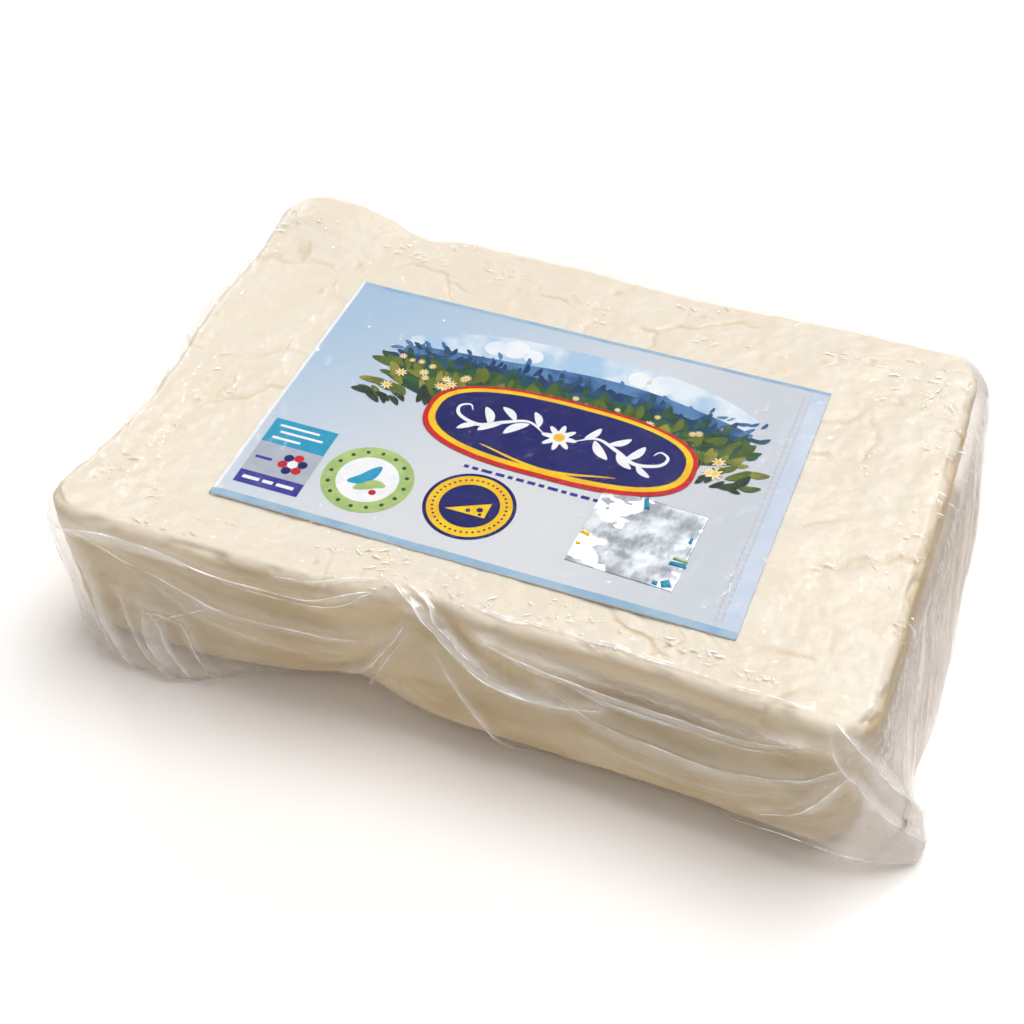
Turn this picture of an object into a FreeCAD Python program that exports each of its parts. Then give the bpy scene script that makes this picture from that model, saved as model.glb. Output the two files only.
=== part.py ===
"""A block of brined white cheese, vacuum packed in a clear bag, with a printed label and a foil seal.

Three solids: bag, which is the filled bag out to its film; label, the sheet that lies on the flat
top; and foil_seal, the small square of foil stuck on the label.

The bag is one skin, drawn through rings that go round the block from its underside, up the walls,
over the rim and in across the top to the flat field under the label.  Every ring starts as a
rounded rectangle.  Swells then push it out or in: the skirt where the film stands away from the
right wall, the ear of spare film at the front right corner, the pinch in the front rim, the waist
and the belly of the front wall, the hem of film at the front left, and the slack corners.

Units are millimetres.  X runs along the block, Y from front to back, Z up.  The origin is on the
surface that the pack lies on, under the middle of the bag's box.
"""

import FreeCAD
import Part

import math
import os
from dataclasses import dataclass

# The block, measured over its film.
BLOCK_LENGTH = 154.0
BLOCK_WIDTH = 105.0
BLOCK_HEIGHT = 33.0
CORNER_RADIUS = 9.0
RIM_RADIUS = 3.0
BASE_RADIUS = 9.0
INNER_CORNER_RADIUS = 6.5

# The film hems, where the film reaches the ground in front of the rounded base.
HEM_RADIUS = 2.0
HEM_FADE = 16.0
FRONT_HEM_PLACE = 19.0
FRONT_HEM_LENGTH = 34.0
FRONT_HEM_DEPTH = 12.0

# The swells of the right wall.  A place is how far along its wall a swell lies, a spread how far
# it reaches along X, Y and Z, and a push how far it moves the film along X, Y and Z.
SKIRT_PLACE = -12.0
SKIRT_SPREAD = (30.0, 46.0, 24.0)
SKIRT_PUSH = (7.5, 0.0, 0.0)
SKIRT_BULGE_PLACE = 30.0
SKIRT_BULGE_HEIGHT = 14.0
SKIRT_BULGE_SPREAD = (26.0, 20.0, 20.0)
SKIRT_BULGE_PUSH = (2.2, 0.0, 0.0)
EAR_PLACE = 7.0
EAR_SPREAD = (14.0, 8.0, 15.0)
EAR_PUSH = (7.0, -1.0, 0.0)

# The swells of the front wall's left part: its hem and the slack film above it.
FRONT_HEM_SPREAD = (17.0, 16.0, 13.0)
FRONT_HEM_PUSH = (0.0, -4.5, 0.0)
SLACK_CORNER_PLACE = 7.0
SLACK_CORNER_DROP = 5.0
SLACK_CORNER_SPREAD = (14.0, 9.0, 11.0)
SLACK_CORNER_PUSH = (-2.6, -0.6, 0.0)
SLACK_FRONT_PLACE = 25.0
SLACK_FRONT_DROP = 8.0
SLACK_FRONT_SPREAD = (24.0, 14.0, 18.0)
SLACK_FRONT_PUSH = (0.0, -1.0, 0.0)

# The swells of the front wall's middle: the pinch under the rim and the notch at the ground.
PINCH_PLACE = -1.0
PINCH_DROP = 4.0
PINCH_SPREAD = (6.5, 9.0, 6.5)
PINCH_PUSH = (0.0, 3.6, -1.2)
FOLD_PLACE = -12.0
FOLD_DROP = 2.0
FOLD_SPREAD = (6.0, 9.0, 9.0)
FOLD_PUSH = (0.0, 1.6, -0.6)
NOTCH_PLACE = -17.0
NOTCH_SPREAD = (10.0, 14.0, 12.0)
NOTCH_PUSH = (0.0, 5.0, 0.0)

# The swells of the front wall's right part: its dent, the waist under the rim and the belly.
FRONT_DENT_PLACE = 28.0
FRONT_DENT_SPREAD = (26.0, 14.0, 22.0)
FRONT_DENT_PUSH = (0.0, 2.2, 0.0)
WAIST_DROP = 11.0
RIGHT_WAIST_PLACE = 40.0
RIGHT_WAIST_SPREAD = (32.0, 12.0, 5.5)
RIGHT_WAIST_PUSH = (0.0, 2.4, 0.0)
LEFT_WAIST_PLACE = 36.0
LEFT_WAIST_RISE = 1.0
LEFT_WAIST_SPREAD = (30.0, 12.0, 5.0)
LEFT_WAIST_PUSH = (0.0, 1.2, 0.0)
BELLY_PLACE = 38.0
BELLY_HEIGHT = 9.0
BELLY_SPREAD = (34.0, 12.0, 7.0)
BELLY_PUSH = (0.0, -1.4, 0.0)

# The swells of the left wall and of the back wall.
SIDE_DENT_PLACE = -16.0
SIDE_DENT_SPREAD = (14.0, 15.0, 40.0)
SIDE_DENT_PUSH = (2.0, 0.0, 0.0)
SIDE_BULGE_PLACE = 20.0
SIDE_BULGE_DROP = 8.0
SIDE_BULGE_SPREAD = (14.0, 14.0, 22.0)
SIDE_BULGE_PUSH = (-1.8, 0.0, 0.0)
HIGH_CORNER_INSETS = (9.0, 4.0)
HIGH_CORNER_SPREAD = (15.0, 13.0, 12.0)
HIGH_CORNER_PUSH = (0.0, 0.0, 2.8)
BACK_BULGE_PLACE = 14.0
BACK_BULGE_DROP = 8.0
BACK_BULGE_SPREAD = (11.0, 12.0, 20.0)
BACK_BULGE_PUSH = (-0.8, 1.6, 0.0)
BACK_NOTCH_PLACE = 33.0
BACK_NOTCH_SPREAD = (6.0, 10.0, 22.0)
BACK_NOTCH_PUSH = (0.0, -2.0, -0.8)
BACK_DENT_PLACE = 16.0
BACK_DENT_SPREAD = (22.0, 14.0, 24.0)
BACK_DENT_PUSH = (0.0, -1.2, -0.4)

# The label, the foil seal on it, and the flat field of the top that carries them.
LABEL_LENGTH = 100.0
LABEL_WIDTH = 68.0
LABEL_THICKNESS = 0.2
LABEL_SHIFT = -4.5
LABEL_MARGIN = 3.0
FOIL_SIDE = 20.0
FOIL_THICKNESS = 0.15
FOIL_PLACE = (27.1, -17.1)
FOIL_TURN = -2.5

# How the skin is drawn: the stations along each side and corner of a ring, the rings of each zone
# (by how far they turn round the base and the rim, in degrees, and by their share of the way in
# across the top), and the skin's degree.
CORNER_STATIONS = 5
LONG_STATIONS = 15
SHORT_STATIONS = 10
BASE_TURNS = (0.0, 14.0, 34.0, 56.0, 78.0)
WALL_RINGS = 5
WALL_MARGIN = 0.5
RIM_TURNS = (12.0, 40.0, 66.0, 88.0)
TOP_SHARES = (0.15, 0.4, 0.7, 0.9)
SKIN_DEGREE = 3
FLAT_TOLERANCE = 1e-6


@dataclass(frozen=True)
class Swell:
    """A soft bulge or dent: its centre, how far it reaches along X, Y and Z, and its push."""

    centre: tuple
    reach: tuple
    push: tuple

    def at(self, point):
        """Return the push at a point: the full push at the centre, fading as a bell curve."""
        away = sum(((p - c) / r) ** 2 for p, c, r in zip(point, self.centre, self.reach))
        share = math.exp(-away)
        return tuple(share * p for p in self.push)


def swells():
    """List the bulges and dents of the skin, placed from the sides of the block."""
    right = BLOCK_LENGTH / 2
    left = -right
    back = BLOCK_WIDTH / 2
    front = -back
    top = BLOCK_HEIGHT
    waist = top - WAIST_DROP
    high_x, high_y = HIGH_CORNER_INSETS
    return [
        # right wall: a skirt of film, widest at the ground, and the ear at its front end
        Swell((right, SKIRT_PLACE, 0.0), SKIRT_SPREAD, SKIRT_PUSH),
        Swell((right, SKIRT_BULGE_PLACE, SKIRT_BULGE_HEIGHT), SKIRT_BULGE_SPREAD, SKIRT_BULGE_PUSH),
        Swell((right, front + EAR_PLACE, 0.0), EAR_SPREAD, EAR_PUSH),
        # front wall, left part: the hem of film on the ground and the slack film above it
        Swell((left + FRONT_HEM_PLACE, front, 0.0), FRONT_HEM_SPREAD, FRONT_HEM_PUSH),
        Swell((left, front + SLACK_CORNER_PLACE, top - SLACK_CORNER_DROP), SLACK_CORNER_SPREAD,
              SLACK_CORNER_PUSH),
        Swell((left + SLACK_FRONT_PLACE, front, top - SLACK_FRONT_DROP), SLACK_FRONT_SPREAD,
              SLACK_FRONT_PUSH),
        # front wall, middle: the pinch under the rim with its fold, and the notch at the ground
        Swell((PINCH_PLACE, front, top - PINCH_DROP), PINCH_SPREAD, PINCH_PUSH),
        Swell((FOLD_PLACE, front, top - FOLD_DROP), FOLD_SPREAD, FOLD_PUSH),
        Swell((NOTCH_PLACE, front, 0.0), NOTCH_SPREAD, NOTCH_PUSH),
        # front wall: the dent of its right part, the waist under the rim, and the belly
        Swell((FRONT_DENT_PLACE, front, top), FRONT_DENT_SPREAD, FRONT_DENT_PUSH),
        Swell((RIGHT_WAIST_PLACE, front, waist), RIGHT_WAIST_SPREAD, RIGHT_WAIST_PUSH),
        Swell((left + LEFT_WAIST_PLACE, front, waist + LEFT_WAIST_RISE), LEFT_WAIST_SPREAD,
              LEFT_WAIST_PUSH),
        Swell((BELLY_PLACE, front, BELLY_HEIGHT), BELLY_SPREAD, BELLY_PUSH),
        # left wall: a long shallow dent, and slack film towards the back
        Swell((left, SIDE_DENT_PLACE, top / 2), SIDE_DENT_SPREAD, SIDE_DENT_PUSH),
        Swell((left, SIDE_BULGE_PLACE, top - SIDE_BULGE_DROP), SIDE_BULGE_SPREAD, SIDE_BULGE_PUSH),
        # back wall: the high slack corner, the notch beside it and the long dent
        Swell((left + high_x, back - high_y, top), HIGH_CORNER_SPREAD, HIGH_CORNER_PUSH),
        Swell((left + BACK_BULGE_PLACE, back, top - BACK_BULGE_DROP), BACK_BULGE_SPREAD,
              BACK_BULGE_PUSH),
        Swell((left + BACK_NOTCH_PLACE, back, top), BACK_NOTCH_SPREAD, BACK_NOTCH_PUSH),
        Swell((BACK_DENT_PLACE, back, top), BACK_DENT_SPREAD, BACK_DENT_PUSH),
    ]


def hem_share(x, y):
    """Return how far the film, not the rounded base, meets the ground there: 0 to 1."""
    right_wall = math.exp(-(((x - BLOCK_LENGTH / 2) / HEM_FADE) ** 2))
    across = (x + BLOCK_LENGTH / 2 - FRONT_HEM_PLACE) / (FRONT_HEM_LENGTH / 2)
    along = (y + BLOCK_WIDTH / 2) / FRONT_HEM_DEPTH
    front_left = math.exp(-(across**4)) * math.exp(-(along**2))
    return min(1.0, right_wall + front_left)


def outline(length, width, radius):
    """Go once round a rounded rectangle about the origin, counter-clockwise from its right side.

    Each side has its own count of stations and each corner is an arc, so that rings of different
    sizes keep station beside station.  Returns (x, y) for each station.
    """
    half_x = length / 2 - radius
    half_y = width / 2 - radius
    corners = [(half_x, half_y), (-half_x, half_y), (-half_x, -half_y), (half_x, -half_y)]
    side_stations = [LONG_STATIONS, SHORT_STATIONS, LONG_STATIONS, SHORT_STATIONS]
    stations = []
    for turn, (corner, count) in enumerate(zip(corners, side_stations)):
        following = corners[(turn + 1) % 4]
        for step in range(CORNER_STATIONS):
            angle = math.pi / 2 * (turn + step / (CORNER_STATIONS - 1))
            x = corner[0] + radius * math.cos(angle)
            y = corner[1] + radius * math.sin(angle)
            stations.append((x, y))
        last_x, last_y = stations[-1]
        for step in range(1, count):
            share = step / count
            x = last_x + (following[0] - corner[0]) * share
            y = last_y + (following[1] - corner[1]) * share
            stations.append((x, y))
    return stations


def inset_outline(inset):
    """Return the stations of the block's outline drawn in by an inset, with its inner corners."""
    return outline(BLOCK_LENGTH - 2 * inset, BLOCK_WIDTH - 2 * inset, INNER_CORNER_RADIUS)


def pushed(point):
    """Return a point of the plain block after every swell has moved it."""
    moved = list(point)
    for swell in swells():
        for axis, push in enumerate(swell.at(point)):
            moved[axis] += push
    return FreeCAD.Vector(*moved)


def base_rings():
    """Rings from the flat underside round the base edge: rounded, or nearly square at a hem."""
    wall = outline(BLOCK_LENGTH, BLOCK_WIDTH, CORNER_RADIUS)
    inner = inset_outline(BASE_RADIUS)
    rings = []
    for turn in BASE_TURNS:
        angle = math.radians(turn)
        ring = []
        for (x, y), (inner_x, inner_y) in zip(wall, inner):
            hem = hem_share(x, y)
            radius = BASE_RADIUS + (HEM_RADIUS - BASE_RADIUS) * hem
            share = radius / BASE_RADIUS * (1 - math.sin(angle))
            height = radius * (1 - math.cos(angle))
            point = pushed((x + (inner_x - x) * share, y + (inner_y - y) * share, height))
            point.z = height
            ring.append(point)
        rings.append(ring)
    return rings


def wall_rings():
    """Rings up the wall, from above the base edge to below the rim."""
    low = BASE_RADIUS + WALL_MARGIN
    high = BLOCK_HEIGHT - RIM_RADIUS - WALL_MARGIN
    plan = outline(BLOCK_LENGTH, BLOCK_WIDTH, CORNER_RADIUS)
    rings = []
    for step in range(WALL_RINGS):
        height = low + (high - low) * step / (WALL_RINGS - 1)
        rings.append([pushed((x, y, height)) for x, y in plan])
    return rings


def rim_rings():
    """Rings over the rounded rim, from the wall to the top."""
    wall = outline(BLOCK_LENGTH, BLOCK_WIDTH, CORNER_RADIUS)
    inner = inset_outline(RIM_RADIUS)
    rings = []
    for turn in RIM_TURNS:
        angle = math.radians(turn)
        share = 1 - math.cos(angle)
        height = BLOCK_HEIGHT - RIM_RADIUS * (1 - math.sin(angle))
        ring = []
        for (x, y), (inner_x, inner_y) in zip(wall, inner):
            ring.append(pushed((x + (inner_x - x) * share, y + (inner_y - y) * share, height)))
        rings.append(ring)
    return rings


def top_rings():
    """Rings in across the top, to the flat field that the label lies on."""
    outer = inset_outline(RIM_RADIUS)
    field_length = LABEL_LENGTH + 2 * LABEL_MARGIN
    field_width = LABEL_WIDTH + 2 * LABEL_MARGIN
    field = outline(field_length, field_width, INNER_CORNER_RADIUS)
    rings = []
    for share in TOP_SHARES:
        ring = []
        for (x, y), (field_x, field_y) in zip(outer, field):
            here_x = x + (field_x - x) * share
            here_y = y + (field_y + LABEL_SHIFT - y) * share
            plain = FreeCAD.Vector(here_x, here_y, BLOCK_HEIGHT)
            swollen = pushed(tuple(plain))
            ring.append(plain + (swollen - plain) * (1 - share))
        rings.append(ring)
    flat = [FreeCAD.Vector(x, y + LABEL_SHIFT, BLOCK_HEIGHT) for x, y in field]
    return rings + [flat]


def skin(rings):
    """Draw one smooth skin through the rings: closed round the block, open at both ends."""
    stations = len(rings[0])
    poles = [[ring[station] for ring in rings] for station in range(stations)]
    round_knots = list(range(stations + 1))
    up_knots = list(range(len(rings) - SKIN_DEGREE + 1))
    up_counts = [1] * len(up_knots)
    up_counts[0] = up_counts[-1] = SKIN_DEGREE + 1
    surface = Part.BSplineSurface()
    surface.buildFromPolesMultsKnots(
        poles, [1] * len(round_knots), up_counts, round_knots, up_knots, True, False,
        SKIN_DEGREE, SKIN_DEGREE,
    )
    return surface.toShape()


def closed_solid(side):
    """Close a skin with a flat face at each open end and return the solid."""
    faces = [side]
    for edge in side.Edges:
        if edge.isClosed() and edge.BoundBox.ZLength < FLAT_TOLERANCE:
            faces.append(Part.Face(Part.Wire([edge])))
    shell = Part.makeShell(faces)
    shell.sewShape()
    return Part.makeSolid(shell)


def make_bag():
    """The filled bag, from its flat underside to the flat field of its top."""
    return closed_solid(skin(base_rings() + wall_rings() + rim_rings() + top_rings()))


def make_label():
    """The label, a thin sheet centred on the field, face to face with the bag's top."""
    corner = FreeCAD.Vector(-LABEL_LENGTH / 2, LABEL_SHIFT - LABEL_WIDTH / 2, BLOCK_HEIGHT)
    return Part.makeBox(LABEL_LENGTH, LABEL_WIDTH, LABEL_THICKNESS, corner)


def make_foil_seal():
    """The foil seal, a square stuck a little turned on the label's right half."""
    level = BLOCK_HEIGHT + LABEL_THICKNESS
    corner = FreeCAD.Vector(-FOIL_SIDE / 2, -FOIL_SIDE / 2, 0)
    foil = Part.makeBox(FOIL_SIDE, FOIL_SIDE, FOIL_THICKNESS, corner)
    foil.rotate(FreeCAD.Vector(0, 0, 0), FreeCAD.Vector(0, 0, 1), FOIL_TURN)
    foil.translate(FreeCAD.Vector(FOIL_PLACE[0], FOIL_PLACE[1] + LABEL_SHIFT, level))
    return foil


def main():
    """Build the three solids, put the origin under the middle of the bag and write them out."""
    shapes = {"bag": make_bag(), "label": make_label(), "foil_seal": make_foil_seal()}
    box = shapes["bag"].optimalBoundingBox(False)
    to_origin = FreeCAD.Vector(-(box.XMin + box.XMax) / 2, -(box.YMin + box.YMax) / 2, 0)
    os.makedirs("parts", exist_ok=True)
    for node, shape in shapes.items():
        shape.translate(to_origin)
        shape.exportStep(f"parts/{node}.step")
        size = shape.optimalBoundingBox(False)
        print(
            f"{node}: valid {shape.isValid()}, {shape.Volume / 1000:.1f} cm3, "
            f"x {size.XMin:.1f} to {size.XMax:.1f}, y {size.YMin:.1f} to {size.YMax:.1f}, "
            f"z {size.ZMin:.1f} to {size.ZMax:.1f}"
        )


main()
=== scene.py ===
"""The looks of a vacuum-packed block of brined white cheese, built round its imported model.

The block lies in a clear film bag.  The film is tight over the top and slack round the walls,
where it stands out as a skirt, a hem and an ear and is drawn into long pleats.  A printed label
with a small foil square lies under the film on the flat top.

Shapes are worked out in millimetres about the middle of the block, with the ground at height
nought, and are put into the model's frame, in metres, when their meshes are made.
"""

import itertools
import logging
import math
from dataclasses import dataclass, field
from enum import Enum
from typing import Callable, Sequence

import bpy
import numpy as np
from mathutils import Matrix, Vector


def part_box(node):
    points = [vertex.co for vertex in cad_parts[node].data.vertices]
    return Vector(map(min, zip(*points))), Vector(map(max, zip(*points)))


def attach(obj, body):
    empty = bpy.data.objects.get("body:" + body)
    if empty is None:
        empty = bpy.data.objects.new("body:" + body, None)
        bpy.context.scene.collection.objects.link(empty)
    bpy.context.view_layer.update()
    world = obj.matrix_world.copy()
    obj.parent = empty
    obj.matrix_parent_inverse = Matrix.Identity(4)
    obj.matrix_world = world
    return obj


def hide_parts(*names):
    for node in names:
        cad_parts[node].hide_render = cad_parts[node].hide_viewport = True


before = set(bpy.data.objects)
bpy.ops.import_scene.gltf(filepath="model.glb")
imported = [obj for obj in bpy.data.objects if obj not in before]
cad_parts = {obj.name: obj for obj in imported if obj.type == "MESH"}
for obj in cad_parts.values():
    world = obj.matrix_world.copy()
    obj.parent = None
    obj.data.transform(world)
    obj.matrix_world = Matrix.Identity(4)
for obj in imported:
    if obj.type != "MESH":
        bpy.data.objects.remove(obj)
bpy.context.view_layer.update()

LOG = logging.getLogger("cheese_pack")
MM = 0.001
FULL_TURN = 2 * math.pi
QUARTER_TURN = math.pi / 2
TINY = 1e-9
Array = np.ndarray
Colour = tuple[float, float, float]
Spot = tuple[float, float]
Socket = bpy.types.NodeSocket


# Sizes that several pieces share

class Slot(Enum):
    """The record's material slots."""

    CHEESE = "cheese"
    FILM = "film"
    LABEL = "label_paper"
    FOIL = "foil"


@dataclass(frozen=True)
class Place:
    """Where the block's own axes lie in the model's frame, read from the label's solid."""

    label_shift: float = -4.5

    def label_box(self) -> tuple[Array, Array]:
        """Return the label's lowest and highest corners in millimetres, in the model's frame."""
        low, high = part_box("label")
        return np.array(low) / MM, np.array(high) / MM

    def to_model(self) -> Array:
        """Return the shift from the block's axes to the model's frame, in millimetres."""
        low, high = self.label_box()
        middle = (low + high) / 2
        return np.array([middle[0], middle[1] - self.label_shift, 0.0])


PLACE = Place()
TO_MODEL = PLACE.to_model()
LABEL_LOW, LABEL_HIGH = PLACE.label_box()
LABEL_SIZE = LABEL_HIGH - LABEL_LOW
TOP_LEVEL = float(LABEL_LOW[2])
LABEL_TOP = float(LABEL_HIGH[2])
LABEL_CENTRE = np.array([0.0, PLACE.label_shift])


# Tools for shapes

class GradientNoise:
    """Smooth seeded noise in space, about -1 to 1."""

    table = 256
    strength = 1.6
    layer_shift = 17.3

    def __init__(self, seed: int) -> None:
        """Draw the table of directions for one seed."""
        draw = np.random.default_rng(seed)
        self.order = draw.permutation(self.table)
        ways = draw.normal(size=(self.table, 3))
        self.ways = ways / np.linalg.norm(ways, axis=1, keepdims=True)

    def at(self, points: Array, size: float | Sequence[float]) -> Array:
        """Blend the slopes drawn at the eight corners of each point's lattice cell.

        Args:
            points: positions, with the three axes last.
            size: the lattice's cell, one length or one for each axis.

        Returns:
            One value for each point.
        """
        scaled = points / np.asarray(size, float)
        cell = np.floor(scaled).astype(int)
        inside = scaled - cell
        ease = inside**3 * (inside * (inside * 6 - 15) + 10)
        total = np.zeros(points.shape[:-1])
        for corner in itertools.product((0, 1), repeat=3):
            step = np.array(corner)
            key = cell + step
            pick = self.order[key[..., 0] % self.table]
            for axis in (1, 2):
                pick = self.order[(pick + key[..., axis]) % self.table]
            slope = (self.ways[pick] * (inside - step)).sum(-1)
            weight = np.where(step == 1, ease, 1 - ease).prod(-1)
            total += slope * weight
        return total * self.strength

    def layered(self, points: Array, size: float, layers: int = 3) -> Array:
        """Add layers of noise, each half the size and half the strength of the one before.

        Args:
            points: positions, with the three axes last.
            size: the lattice's cell in the first layer.
            layers: how many layers are added.

        Returns:
            One value for each point.
        """
        total = np.zeros(points.shape[:-1])
        for layer in range(layers):
            total += self.at(points + self.layer_shift * layer, size / 2**layer) / 2**layer
        return total


def smooth_step(value: Array, low: float, high: float) -> Array:
    """Rise smoothly from 0 at low to 1 at high."""
    share = np.clip((value - low) / (high - low), 0.0, 1.0)
    return share * share * (3 - 2 * share)


def bell(away: Array, reach: float) -> Array:
    """Fall smoothly from 1 at no distance towards 0 beyond the reach: a Gaussian curve."""
    return np.exp(-((away / reach) ** 2))


def unit(vectors: Array) -> Array:
    """Scale vectors, which lie along the last axis, to length one."""
    return vectors / np.maximum(np.linalg.norm(vectors, axis=-1, keepdims=True), TINY)


def round_angles(count: int) -> Array:
    """Space angles evenly over a full turn, from nought."""
    return np.arange(count) / count * FULL_TURN


def directions(angles: Array) -> Array:
    """Turn angles from the first axis into flat directions of length one."""
    return np.stack([np.cos(angles), np.sin(angles)], -1)


def turned_by(degrees: float) -> Array:
    """Return the matrix that turns rows of flat places anticlockwise by an angle."""
    angle = math.radians(degrees)
    along = [math.cos(angle), math.sin(angle)]
    return np.array([along, [-along[1], along[0]]])


def right_of(path: Array) -> Array:
    """Return the flat direction to the right of the way at each point of a path."""
    run = np.gradient(path, axis=0)
    side = np.stack([run[:, 1], -run[:, 0]], -1)
    return side / np.linalg.norm(side, axis=1, keepdims=True)


def smooth_path(points: Sequence[Sequence[float]], count: int, fine_steps: int = 24) -> Array:
    """Carry a smooth path through a few points, by Catmull-Rom blending of each four in a row.

    Args:
        points: the points that the path goes through.
        count: how many evenly spaced points are returned.
        fine_steps: steps in each span of the fine path that these are taken from.

    Returns:
        The path's points, one a row.
    """
    knots = np.asarray(points, float)
    ends = (2 * knots[0] - knots[1], 2 * knots[-1] - knots[-2])
    knots = np.vstack([ends[0], knots, ends[1]])
    spans = len(knots) - 3
    along = np.linspace(0, spans, spans * fine_steps + 1)
    span = np.minimum(along.astype(int), spans - 1)
    share = (along - span)[:, None]
    before, start, end, after = (knots[span + k] for k in range(4))
    bend = -before + 3 * start - 3 * end + after
    turn = 2 * before - 5 * start + 4 * end - after
    fine = 0.5 * (2 * start + (end - before) * share + turn * share**2 + bend * share**3)
    steps = np.linalg.norm(np.diff(fine, axis=0), axis=1)
    length = np.concatenate([[0.0], np.cumsum(steps)])
    wanted = np.linspace(0, length[-1], count)
    return np.stack([np.interp(wanted, length, fine[:, k]) for k in range(fine.shape[1])], -1)


def away_from_path(spots: Array, path: Array) -> tuple[Array, Array]:
    """Measure how far spots lie from a path, and how far along it they are.

    Args:
        spots: flat positions, two numbers last.
        path: the path's points.

    Returns:
        The distance, and the share of the path's length at the nearest point.
    """
    nearest = np.full(spots.shape[:-1], np.inf)
    along = np.zeros(spots.shape[:-1])
    legs = len(path) - 1
    for leg in range(legs):
        start = path[leg]
        run = path[leg + 1] - start
        share = np.clip(((spots - start) @ run) / max(run @ run, TINY), 0, 1)
        gap = np.linalg.norm(spots - start - share[..., None] * run, axis=-1)
        closer = gap < nearest
        nearest = np.where(closer, gap, nearest)
        along = np.where(closer, (leg + share) / legs, along)
    return nearest, along


def new_piece(name: str, vertices: Array, faces: list, finish: bpy.types.Material,
              smooth: bool = True) -> bpy.types.Object:
    """Make a mesh object of one piece and tie it to the model's body.

    Args:
        name: the piece's name.
        vertices: positions in millimetres about the block.
        faces: vertex numbers of each face.
        finish: its material.
        smooth: whether its faces are shaded smooth.

    Returns:
        The new object.
    """
    mesh = bpy.data.meshes.new(name)
    mesh.from_pydata(((vertices + TO_MODEL) * MM).tolist(), [], faces)
    mesh.polygons.foreach_set("use_smooth", [smooth] * len(mesh.polygons))
    mesh.update()
    piece = bpy.data.objects.new(name, mesh)
    bpy.context.scene.collection.objects.link(piece)
    mesh.materials.append(finish)
    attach(piece, "root")
    LOG.info("%s: %d faces", name, len(faces))
    return piece


def grid_faces(rows: int, columns: int, closed: bool, start: int = 0) -> Array:
    """Number the four-sided faces of a grid of vertices, row by row.

    Args:
        rows: rows of vertices.
        columns: vertices in a row.
        closed: whether the last column joins the first.
        start: the number of the grid's first vertex.

    Returns:
        One face a row, turned so that it faces away when rows rise and columns go anticlockwise.
    """
    row = np.arange(rows - 1)[:, None]
    column = np.arange(columns if closed else columns - 1)[None, :]
    after = (column + 1) % columns
    corners = [row * columns + column, row * columns + after,
               (row + 1) * columns + after, (row + 1) * columns + column]
    return np.stack([c.ravel() for c in np.broadcast_arrays(*corners)], -1) + start


def sheet_faces(rows: int, columns: int) -> list[Array]:
    """Number the faces of a thin closed sheet: a grid, its underside and its four edges.

    The vertices are the top's grid and then the underside's.  The faces point away when rows
    rise and columns go anticlockwise.

    Args:
        rows: rows of vertices.
        columns: vertices in a row.

    Returns:
        The top's faces, the underside's and the edges'.
    """
    count = rows * columns
    top = grid_faces(rows, columns, closed=False)
    edge = np.concatenate([np.arange(columns), np.arange(2, rows + 1) * columns - 1,
                           np.arange(count - 2, count - columns - 1, -1),
                           np.arange(rows - 2, 0, -1) * columns])
    after = np.roll(edge, -1)
    sides = np.stack([edge + count, after + count, after, edge], -1)
    return [top, top[:, ::-1] + count, sides]


def tube_faces(rows: int, columns: int) -> list[Array]:
    """Number the faces of a closed tube: its wall of rings and a fan at either end.

    The vertices are the rings' and then the middles of the first and the last end.

    Args:
        rows: rings of vertices.
        columns: vertices in a ring.

    Returns:
        The wall's faces and the two fans', turned as grid_faces turns them.
    """
    here = np.arange(columns)
    after = (here + 1) % columns
    last, middle = (rows - 1) * columns, rows * columns
    low = np.stack([np.full(columns, middle), after, here], -1)
    high = np.stack([np.full(columns, middle + 1), last + here, last + after], -1)
    return [grid_faces(rows, columns, closed=True), low, high]


def set_attribute(piece: bpy.types.Object, name: str, values: Array) -> None:
    """Store one number for each vertex under a name that materials read."""
    store = piece.data.attributes.new(name, "FLOAT", "POINT")
    store.data.foreach_set("value", np.ascontiguousarray(values, np.float32).ravel())


# Tools for finishes

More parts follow.
